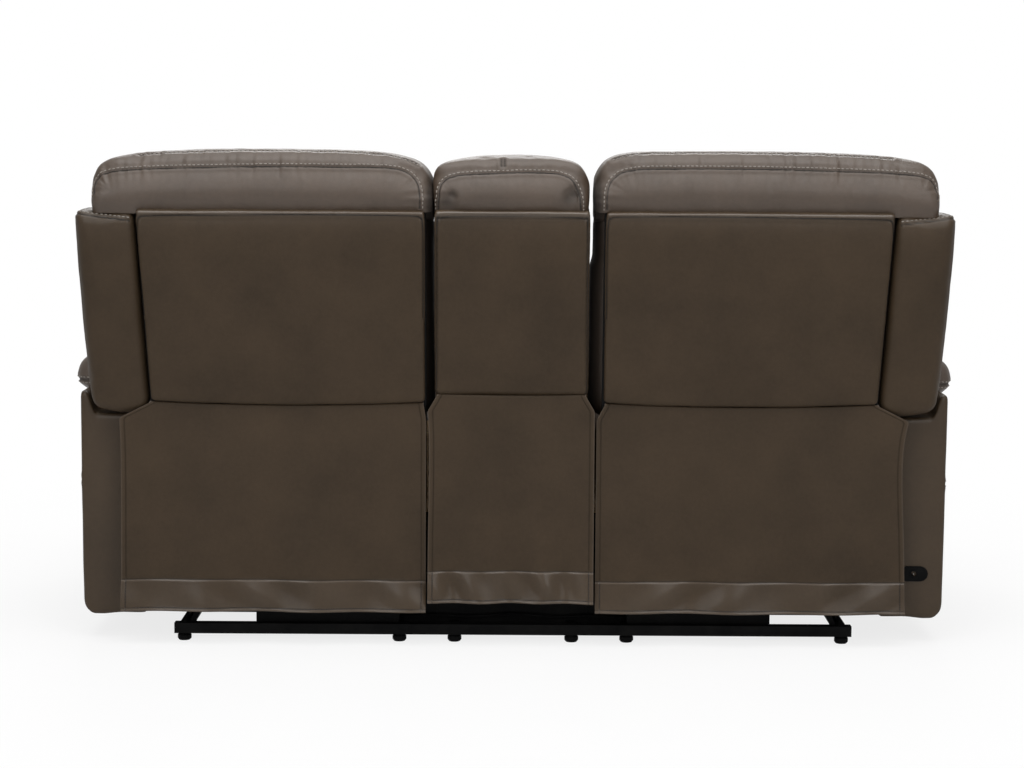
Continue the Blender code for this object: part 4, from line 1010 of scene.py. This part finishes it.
def hang_flap(piece, body, node, cut, side, behind):
    """Sews a flap and ties it to its body."""
    sew_flap(piece, body, cut, side)
    belongs(piece, body, node)
    size, area = flap_area(cut)


def seat_flap(tag, side):
    axis = leaned(0.0, 0.0425, BACK_BOTTOM - 0.0043)[1:]
    inner = (PANEL_IN + 0.004, CONSOLE_SHIFT * side + CONSOLE_FLAP_HALF + 0.004)
    outer = (SEAT_OUT - PANEL_TAPER, SEAT_OUT - PANEL_TAPER + 0.070)
    cut = (inner, outer), axis, FLAP_BOTTOM
    piece = flap_sheet(tag + "_flap_sheet", cut, side, 0.6 * side, 0.008, 0.012 if side < 0 else 0.002)
    hang_flap(piece, tag + "_flap", tag + "_flap", cut, side, tag + "_back_panel_cover")


def console_flap():
    _, y, z = leaned(0.0, BACK_REAR, BACK_BOTTOM + 0.022)
    edge = CONSOLE_HALF - 0.004
    inner = (CONSOLE_SHIFT - edge, CONSOLE_SHIFT - CONSOLE_FLAP_HALF)
    outer = (CONSOLE_SHIFT + edge, CONSOLE_SHIFT + CONSOLE_FLAP_HALF)
    cut = (inner, outer), (y - 0.004, z - 0.0043), CONSOLE_FLAP_BOTTOM
    piece = flap_sheet("console_flap_sheet", cut, 1, 1.5, 0.003, 0.003)
    hang_flap(piece, "base", "console_flap", cut, 1, "console_back_cover")


def merged_copy(node, name, material):
    """A piece made from a CAD node's mesh with its loose triangles joined."""
    bm = bmesh.new()
    bm.from_mesh(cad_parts[node].data)
    bmesh.ops.remove_doubles(bm, verts=bm.verts, dist=1e-5)
    bmesh.ops.dissolve_limit(bm, angle_limit=math.radians(1.0), verts=bm.verts, edges=bm.edges)
    return from_bmesh(name, bm, material)


def console_back():
    """Console's rear: its CAD box remade in small cells with softened edges, sewn and filled."""
    piece = merged_copy("console_back", "console_back_cover", BACK_HIDE)
    remake = piece.modifiers.new("cells", "REMESH")
    remake.mode, remake.voxel_size = "VOXEL", 0.0045
    soften = piece.modifiers.new("soften", "SMOOTH")
    soften.factor, soften.iterations = 0.5, 5
    made_mesh(piece)
    piece.data.shade_smooth()
    blank_marks(piece.data)
    left, right = CONSOLE_SHIFT + CONSOLE_HALF, CONSOLE_SHIFT - CONSOLE_HALF
    half = [(0.004, 0.580), (0.004, 0.80), (0.005, 0.960), (0.013, 0.9725), (0.040, 0.9760)]
    row = [(left - gap, z) for gap, z in half] + [(CONSOLE_SHIFT, 0.9770)]
    edge_seam(piece, "base", row + [(right + gap, z) for gap, z in half[::-1]], 0.0020)
    co = coordinates(piece)
    rear_face = smooth_step(directions(piece)[:, 1], 0.6, 0.95)
    across = np.clip((co[:, 0] - CONSOLE_SHIFT) / CONSOLE_HALF, -1, 1)
    z = co[:, 2].copy()
    up = np.clip((z - 0.775) / 0.2, -1, 1)
    full = 0.005 * (1 - across ** 4) * (1 - up ** 4) - 0.004 * np.exp(-np.abs(0.976 - z) / 0.014)
    full += 0.011 * smooth_step(z, 0.9745, 0.9775) * (1 - 0.9 * np.clip((z - 0.976) / 0.0125, 0, 1))
    co[:, 1] += full * rear_face
    co[:, 2] += 0.004 * smooth_step(z, 0.974, 0.982)
    move_to(piece, co)
    # Painted highlight on the strip over the top seam.
    paint_strip_highlight(piece)
    wrinkle(piece, 2.5, 0.0012, 5.0)
    finish_soft(piece, "base", "console_back")


def arm(tag, side):
    """Upholstered arm box; its top steps down behind the pad, where the wing swings."""
    low, high = (ARM_IN + 0.0006, ARM_FRONT, ARM_BOTTOM), (ARM_OUT + 0.003, ARM_REAR - 0.001, ARM_TOP)

    def shape(x, y, z, u, v, w):
        outside = smooth_step(x, 0.960, 0.967)
        step = smooth_step(y, ARM_PAD_REAR - 0.002, ARM_PAD_REAR + 0.010) * (1 - outside)
        lip = 0.024 * outside * smooth_step(y, 0.250, 0.290)
        z = z + (lip - (ARM_TOP - ARM_DECK) * step) * smooth_step(z, 0.40, ARM_TOP)
        lower = np.clip((0.088 - z) / 0.029, 0.0, 1.0)
        x = x - 0.029 * np.clip(u, 0, 1) ** 2 * (1 - np.sqrt(1 - 0.98 * lower ** 2))
        z = z - 0.004 * lower * smooth_step(u, -0.3, 0.5)
        bulge = 0.0030 * (1 - u ** 2) * (1 - w ** 4)
        return x, y + bulge * v, z

    radius = (0.008, 0.008, 0.004)
    piece = stuffed(tag + "_arm_cover", low, high, radius, 0.010, side, shape, hide=BACK_HIDE)
    refine(piece)
    level = [(side * 1.2, y, 0.368) for y in np.linspace(ARM_FRONT + 0.01, ARM_REAR - 0.012, 16)]
    outside = seen_from(surface(piece), level, (-side, 0, 0))
    seam_and_row(piece, "base", outside, (0, 0, 1), second=True, depth=0.003)
    front = [(ARM_IN + 0.014, 0.09), (ARM_IN + 0.013, 0.30), (ARM_IN + 0.014, 0.52), (ARM_IN + 0.030, 0.535)]
    front += [(ARM_OUT - 0.030, 0.535), (ARM_OUT - 0.014, 0.52), (ARM_OUT - 0.013, 0.30)]
    front += [(ARM_OUT - 0.016, 0.09)]
    face = on_front(surface(piece), front, side)
    seam_and_row(piece, "base", face, (0, -1, 0.2), depth=0.003)
    # A faint painted highlight over the whole arm, with a little coat gloss.
    set_marks(piece, "rub", np.full(len(piece.data.vertices), 0.18))
    wrinkle(piece, side + 12.0, 0.0013, 6.0)
    finish_soft(piece, "base", tag + "_arm")


def crowned(height):
    """A shape whose top rises towards its middle."""
    def shape(x, y, z, u, v, w):
        return x, y, z + height * np.clip(w, 0, 1) * (1 - u ** 2) * (1 - v ** 2)
    return shape


def arm_pad(tag, side):
    """Pillow on the arm, sewn along its widest line."""
    low = (ARM_IN - 0.030, ARM_FRONT - 0.013, ARM_TOP + 0.0006)
    high = (ARM_OUT + 0.030, ARM_PAD_REAR - 0.002, ARM_TOP + 0.094)
    (x0, y0, _), (x1, y1, _) = low, high
    middle = (x0 + x1) / 2

    def shape(x, y, z, u, v, w):
        x, y, z = crowned(0.010)(x, y, z, u, v, w)
        return middle + (x - middle) * (1 - 0.22 * smooth_step(-w, 0.2, 1.0)), y, z

    piece = stuffed(tag + "_arm_pad_cover", low, high, (0.040, 0.042, 0.042), 0.010, side, shape)
    swell(piece, lambda co: co[:, 2] < ARM_TOP + 0.012, 0.005)
    refine(piece)
    half = [(0.0, y0 + 0.10), (0.0, 0.0), (0.0, y1 - 0.06), (0.03, y1 - 0.008)]
    ring = [(x1 - gap, y) for gap, y in half] + [(middle, y1)]
    ring += [(x0 + gap, y) for gap, y in half[::-1]]
    ring += [(x0 + 0.03, y0 + 0.008), (middle, y0), (x1 - 0.03, y0 + 0.008), (x1, y0 + 0.10)]
    round_it = [(side * x, y, 0.588) for x, y in ring]
    seam_and_row(piece, "base", round_it, (0, 0, 1), second=True, offset=0.0065, drawn=(0.0012, 6.0 + side))
    wrinkle(piece, side + 16.0, 0.0014, 9.0)
    finish_soft(piece, "base", tag + "_arm_pad")


# Pieces seen from the front

def seat_cushion(tag, side):
    """Deep seat cushion with a crowned top and a boxed front."""
    low, high = (SEAT_IN + 0.006, -0.472, DECK_TOP + 0.0008), (SEAT_OUT - 0.006, 0.281, DECK_TOP + 0.186)

    def shape(x, y, z, u, v, w):
        crown = (1 - u ** 2) * (1 - v ** 2)
        return x - 0.004 * u * (1 - v ** 2) * (1 - w ** 2), y, z + 0.016 * np.clip(w, 0, 1) * crown

    piece = stuffed(tag + "_seat_cover", low, high, (0.045, 0.055, 0.050), 0.014, side, shape)
    swell(piece, lambda co: co[:, 2] < DECK_TOP + 0.02, 0.006)
    refine(piece)
    for y, seed in ((-0.385, 7.0), (-0.060, 8.0)):
        line = [(x, y) for x in np.linspace(SEAT_IN + 0.03, SEAT_OUT - 0.03, 12)]
        seam_and_row(piece, "base", on_top(surface(piece), line, side), (0, 1, 0), second=True,
                     depth=0.006, width=0.006, drawn=(0.003, seed + side))
    line = [(x, 0.425) for x in np.linspace(SEAT_IN + 0.02, SEAT_OUT - 0.02, 12)]
    front = on_front(surface(piece), line, side)
    seam_and_row(piece, "base", front, (0, 0, 1), depth=0.005, width=0.005, drawn=(0.002, 9.0 + side))
    wrinkle(piece, side + 20.0, 0.0022, 7.0)
    finish_soft(piece, "base", tag + "_seat_cushion")


# Places of the sewn channels on a back cushion, from -1 to 1, each with a seed for its folds
CHANNELS = ((-0.30, 10.0), (0.35, 11.0))


def back_cushion(tag, side):
    """Front of the back: two sewn channels across, drawn in beside the arm."""
    inner, more = (0.1811, 0.0) if side > 0 else (0.1735, 0.0055)
    low, high = (inner, -0.174, 0.017), (SEAT_OUT - 0.005, FRAME_FRONT - 0.0008, BACK_TOP - 0.0008)
    beside_arm, arm_line = ARM_IN - 0.037 - 0.002, 0.167

    def shape(x, y, z, u, v, w):
        front = np.clip(-v, 0, 1)
        full = (1 - u ** 2) * (1 - w ** 2)
        channel = sum(np.exp(-((w - place) / 0.10) ** 2) for place, _ in CHANNELS)
        y = y - front * (0.012 * full - 0.018 * channel * (1 - u ** 8))
        lower = np.clip((arm_line + 0.04 - z) / 0.04, 0, 1)
        share = (x - low[0]) / (high[0] - low[0])
        beside_wing = outer_edge(z) - 0.005
        edge = beside_wing + (np.minimum(beside_arm, beside_wing) - beside_wing) * lower
        return leaned(low[0] + share * (edge - low[0]), y, z)

    def held(co):
        flat = (co[:, 1] - HINGE_Y) * math.cos(LEAN) - (co[:, 2] - HINGE_Z) * math.sin(LEAN)
        return flat > high[1] - 0.03

    piece = stuffed(tag + "_back_cover", low, high, (0.040, 0.045, 0.045), 0.012, side, shape)
    swell(piece, held, 0.006)
    refine(piece)
    co = coordinates(piece)
    fuller = more * smooth_step(-co[:, 2], -0.890, -0.860)
    out = np.abs(co[:, 0])
    co[:, 0] = side * np.maximum(out - fuller * (1 - smooth_step(out, inner, inner + 0.06)), inner - fuller)
    # Painted shade on the inner side, in the narrow gap beside the console.
    set_marks(piece, "seam", 1 - smooth_step(out, inner + 0.004, inner + 0.030))
    move_to(piece, co)
    for place, seed in CHANNELS:
        z = (low[2] + high[2]) / 2 + place * (high[2] - low[2]) / 2
        height = HINGE_Z + z * math.cos(LEAN) + 0.020
        line = [(x, height) for x in np.linspace(PANEL_IN + 0.02, outer_edge(z) - 0.05, 12)]
        across = on_front(surface(piece), line, side)
        seam_and_row(piece, tag + "_back", across, (0, 0, 1), second=True,
                     depth=0.005, width=0.005, drawn=(0.003, seed + side))
    wrinkle(piece, side + 24.0, 0.0020, 8.0)
    finish_soft(piece, tag + "_back", tag + "_back_cushion")


def footrest(tag, side):
    """Padded footrest board with a sewn border."""
    low, high = (SEAT_IN + 0.011, -0.5340, 0.0930), (SEAT_OUT - 0.011, -0.4880, 0.4190)

    def shape(x, y, z, u, v, w):
        full = (1 - u ** 4) * (1 - w ** 4)
        return x, y + 0.006 * np.clip(-v, 0, 1) * (1 - full), z

    piece = stuffed(tag + "_footrest_cover", low, high, (0.018, 0.018, 0.018), 0.011, side, shape)
    refine(piece)
    (x0, _, z0), (x1, _, z1), inset = low, high, 0.045
    upper = [(inset, z0 + 0.1), (inset, z1 - 0.1)]
    upper += [(inset + 0.01, z1 - inset - 0.01), (inset + 0.08, z1 - inset)]
    lower = [(inset + 0.01, z0 + inset + 0.01), (inset + 0.08, z0 + inset)]
    ring = [(x0 + gap, z) for gap, z in upper] + [(x1 - gap, z) for gap, z in upper[::-1] + lower]
    ring += [(x0 + gap, z) for gap, z in lower[::-1] + upper[:1]]
    face = on_front(surface(piece), ring, side)
    seam_and_row(piece, tag + "_footrest", face, (0, 0, 1), second=True, drawn=(0.001, 12.0 + side))
    wrinkle(piece, side + 28.0, 0.0012, 9.0)
    finish_soft(piece, tag + "_footrest", tag + "_footrest")
    brackets(tag, side)


def brackets(tag, side):
    """Steel brackets behind the footrest, with an eye on the last link's axle."""
    half, thick, eye = 0.2325, 0.005, 0.016
    outline = [(-0.4890, 0.150), (-0.4890, 0.098)]
    turns = np.radians(np.arange(-120, 100, 20))
    outline += [(TOE[0] + eye * math.cos(t), TOE[1] + eye * math.sin(t)) for t in turns]
    bm = bmesh.new()
    for end in (-1, 1):
        x = side * SEAT_MID + end * (half + thick / 2)
        near = [bm.verts.new((x - thick / 2, y, z)) for y, z in outline]
        far = [bm.verts.new((x + thick / 2, y, z)) for y, z in outline]
        bm.faces.new(near)
        bm.faces.new(far[::-1])
        for i in range(len(outline)):
            j = (i + 1) % len(outline)
            bm.faces.new((near[i], far[i], far[j], near[j]))
    bmesh.ops.recalc_face_normals(bm, faces=bm.faces)
    piece = from_bmesh(tag + "_footrest_brackets", bm, STEEL)
    eased(piece, 0.0008, 2)
    made_mesh(piece)
    belongs(piece, tag + "_footrest")


def console_lid():
    """Padded lid of the storage bin, sewn round its edge."""
    low, high = (-0.1700, -0.2290, 0.5760), (0.1700, 0.2440, 0.6385)
    piece = stuffed("console_lid_cover", low, high, (0.024, 0.024, 0.026), 0.010, 1, crowned(0.010))
    swell(piece, lambda co: co[:, 2] < 0.590, 0.004)
    refine(piece)
    x1, y0, y1 = 0.150, -0.207, 0.222
    upper = [(x1, 0.0), (x1, y1 - 0.05), (x1 - 0.012, y1 - 0.012), (x1 - 0.05, y1)]
    lower = [(x1, y0 + 0.05), (x1 - 0.012, y0 + 0.012), (x1 - 0.05, y0)]
    ring = upper + [(-x, y) for x, y in upper[::-1] + lower] + lower[::-1] + upper[:1]
    top = on_top(surface(piece), ring)
    seam_and_row(piece, "lid", top, (0, 0, 1), second=True, drawn=(0.001, 13.0))
    wrinkle(piece, 30.0, 0.0012, 9.0)
    finish_soft(piece, "lid", "console_lid")


def console_box():
    """Leather-covered box between the seats, with softened edges round the bin and the cups."""
    piece = merged_copy("console_box", "console_box_cover", HIDE)
    eased(piece, 0.0045, 3).angle_limit = math.radians(40)
    made_mesh(piece)
    piece.data.shade_smooth()
    piece.data.set_sharp_from_angle(angle=math.radians(35))
    tree = surface(piece)
    stitched("base", tree, on_top(tree, [(x, -0.262) for x in np.linspace(-0.165, 0.165, 9)]))
    belongs(piece, "base", "console_box")


# Hard parts

SEAT_FINISHES = {
    "seat_base": STEEL, "actuator": STEEL, "footrest_link_1": STEEL, "footrest_link_2": STEEL,
    "footrest_link_3": STEEL, "drive_block": PLASTIC, "control_plate": PLASTIC, "rocker_switch": PLASTIC,
    "front_inner_foot": PLASTIC, "front_outer_foot": PLASTIC, "rear_inner_foot": PLASTIC,
    # The back frame's black cloth is painted shade in the gaps beside the back panels.
    "rear_outer_foot": PLASTIC, "seat_deck": PLY, "back_frame": GAP_SHADE_CLOTH, "cup_holder": CUP,
}
BODY_FINISHES = {
    "console_base": STEEL, "console_front_left_foot": PLASTIC, "console_front_right_foot": PLASTIC,
    "console_rear_left_foot": PLASTIC, "console_rear_right_foot": PLASTIC, "power_inlet": PLASTIC,
    "power_lead": PLASTIC,
}


def paint_nodes():
    """Finishes of the CAD nodes that stay in sight."""
    finishes = dict(BODY_FINISHES)
    for tag, _ in SIDES:
        finishes.update({f"{tag}_{name}": material for name, material in SEAT_FINISHES.items()})
    for node, material in finishes.items():
        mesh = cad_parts[node].data
        mesh.materials.clear()
        mesh.materials.append(material)


def jack_pin():
    """Bright contact inside the inlet's jack."""
    bm = bmesh.new()
    place = (-0.916, 0.3863, 0.1615)
    profile = [(0.0012, 0.0), (0.0012, 0.0042), (0.0008, 0.0052), (0.0001, 0.0055)]
    turns = np.linspace(0, 2 * math.pi, 12, endpoint=False)
    rings = []
    for radius, out in profile:
        rings.append([bm.verts.new((radius * math.cos(t), out, radius * math.sin(t))) for t in turns])
    for first, second in zip(rings, rings[1:]):
        for i in range(len(turns)):
            j = (i + 1) % len(turns)
            bm.faces.new((first[i], first[j], second[j], second[i]))
    bm.faces.new(rings[0])
    bm.faces.new(rings[-1])
    bmesh.ops.recalc_face_normals(bm, faces=bm.faces)
    piece = from_bmesh("power_inlet_pin", bm, PIN)
    piece.data.transform(Matrix.Translation(place))
    piece.data.shade_smooth()
    belongs(piece, "base")


def joint_shade_strips():
    """Narrow black strips that close the joints between the guards under the flaps: painted shade, dark
    where the joints would let light through.
    """
    size = Matrix.Diagonal((0.012, 0.0015, 0.064, 1.0))
    for tag, side in SIDES:
        bm = bmesh.new()
        place = Matrix.Translation((side * SEAT_IN, 0.3389, 0.053))
        bmesh.ops.create_cube(bm, size=1.0, matrix=place @ size)
        bmesh.ops.bevel(bm, geom=bm.edges[:], offset=0.0004, segments=2, affect="EDGES")
        belongs(from_bmesh(tag + "_joint_strip", bm, PLASTIC), "base")


# Studio

def floor_paint():
    """Pale paint that glows for the camera away from the part, so that the floor turns white."""
    f = Finish("studio_floor_paint")
    place = f.place()
    speck = f.noise(3.0, 2.0, 0.5, place)
    tone = f.ramp(speck, [(0.3, (0.79, 0.79, 0.79)), (0.7, (0.81, 0.81, 0.81))])
    away = f.node("ShaderNodeVectorMath", {"operation": "LENGTH"}, {0: place}, "Value")
    fade = f.spread(away, 1.1, 2.6, 0.80, 1.0, "SMOOTHSTEP")
    seen = (f.ray("Camera") + f.ray("Glossy") * 0.3 + f.ray("Transmission")).clamped()
    glow = f.node("ShaderNodeEmission", {}, {"Color": WHITE, "Strength": 1.0})
    f.end("Material Output", seen * fade, glow)
    return f.set(Base_Color=tone, Roughness=0.9)


def surround():
    """Soft even light, white for the camera and dimmer near eye level for mirror-like rays."""
    w = Finish("studio_world", "worlds")
    white = w.node("ShaderNodeBackground", {}, {"Color": WHITE})
    way = w.node("ShaderNodeTexCoord", output="Generated")
    upward = w.spread(w.node("ShaderNodeSeparateXYZ", {}, {0: way}, "Z"), 0.0, 0.6, 0.2, 0.7)
    seen = w.ray("Camera").most(w.ray("Glossy") * upward).most(w.ray("Transmission"))
    w.end("World Output", seen, white)
    return w.set(Color=WHITE, Strength=0.36)


def lamp(name, place, aim, size, power):
    data = bpy.data.lights.new(name, "AREA")
    data.shape = "RECTANGLE"
    data.size, data.size_y = size
    data.energy = power
    made = placed(name, data)
    made.location = place
    made.rotation_euler = (Vector(aim) - Vector(place)).to_track_quat("-Z", "Y").to_euler()


def studio():
    """Pale floor, white surround, soft lamps and the photograph's camera."""
    scene = bpy.context.scene
    scene.view_settings.view_transform = "Standard"
    bm = bmesh.new()
    bmesh.ops.create_grid(bm, x_segments=1, y_segments=1, size=14.0)
    from_bmesh("studio_floor", bm, floor_paint())
    scene.world = surround()
    lamp("overhead", (0.0, 1.4, 3.6), (0.0, 0.3, 0.6), (4.2, 2.6), 110.0)
    lamp("rear_left", (2.0, 4.5, 2.3), (0.2, 0.4, 0.6), (2.0, 2.4), 49.0)
    lamp("rear_right", (-2.0, 4.5, 2.3), (-0.2, 0.4, 0.6), (2.0, 2.4), 49.0)
    lamp("front", (0.0, -3.4, 4.0), (0.0, 0.0, 0.6), (4.0, 2.4), 140.0)
    data = bpy.data.cameras.new("photo_camera")
    data.sensor_width = 36.0
    data.lens = data.sensor_width * FOCAL_SHARE
    camera = placed("photo_camera", data)
    pitch, roll = math.radians(90.0 - CAMERA_DIP), math.radians(CAMERA_ROLL)
    turn = Matrix.Rotation(math.pi, 4, "Z") @ Matrix.Rotation(pitch, 4, "X") @ Matrix.Rotation(roll, 4, "Z")
    camera.matrix_world = Matrix.Translation(CAMERA_PLACE) @ turn
    scene.camera = camera


studio()
paint_nodes()
for tag, side in SIDES:
    for make in (headrest, back_panel, wing, seat_flap, arm, arm_pad, seat_cushion, back_cushion, footrest):
        make(tag, side)
for make in (console_top, console_back, console_flap, console_box, console_lid, jack_pin, joint_shade_strips):
    make()
lay_stitches()
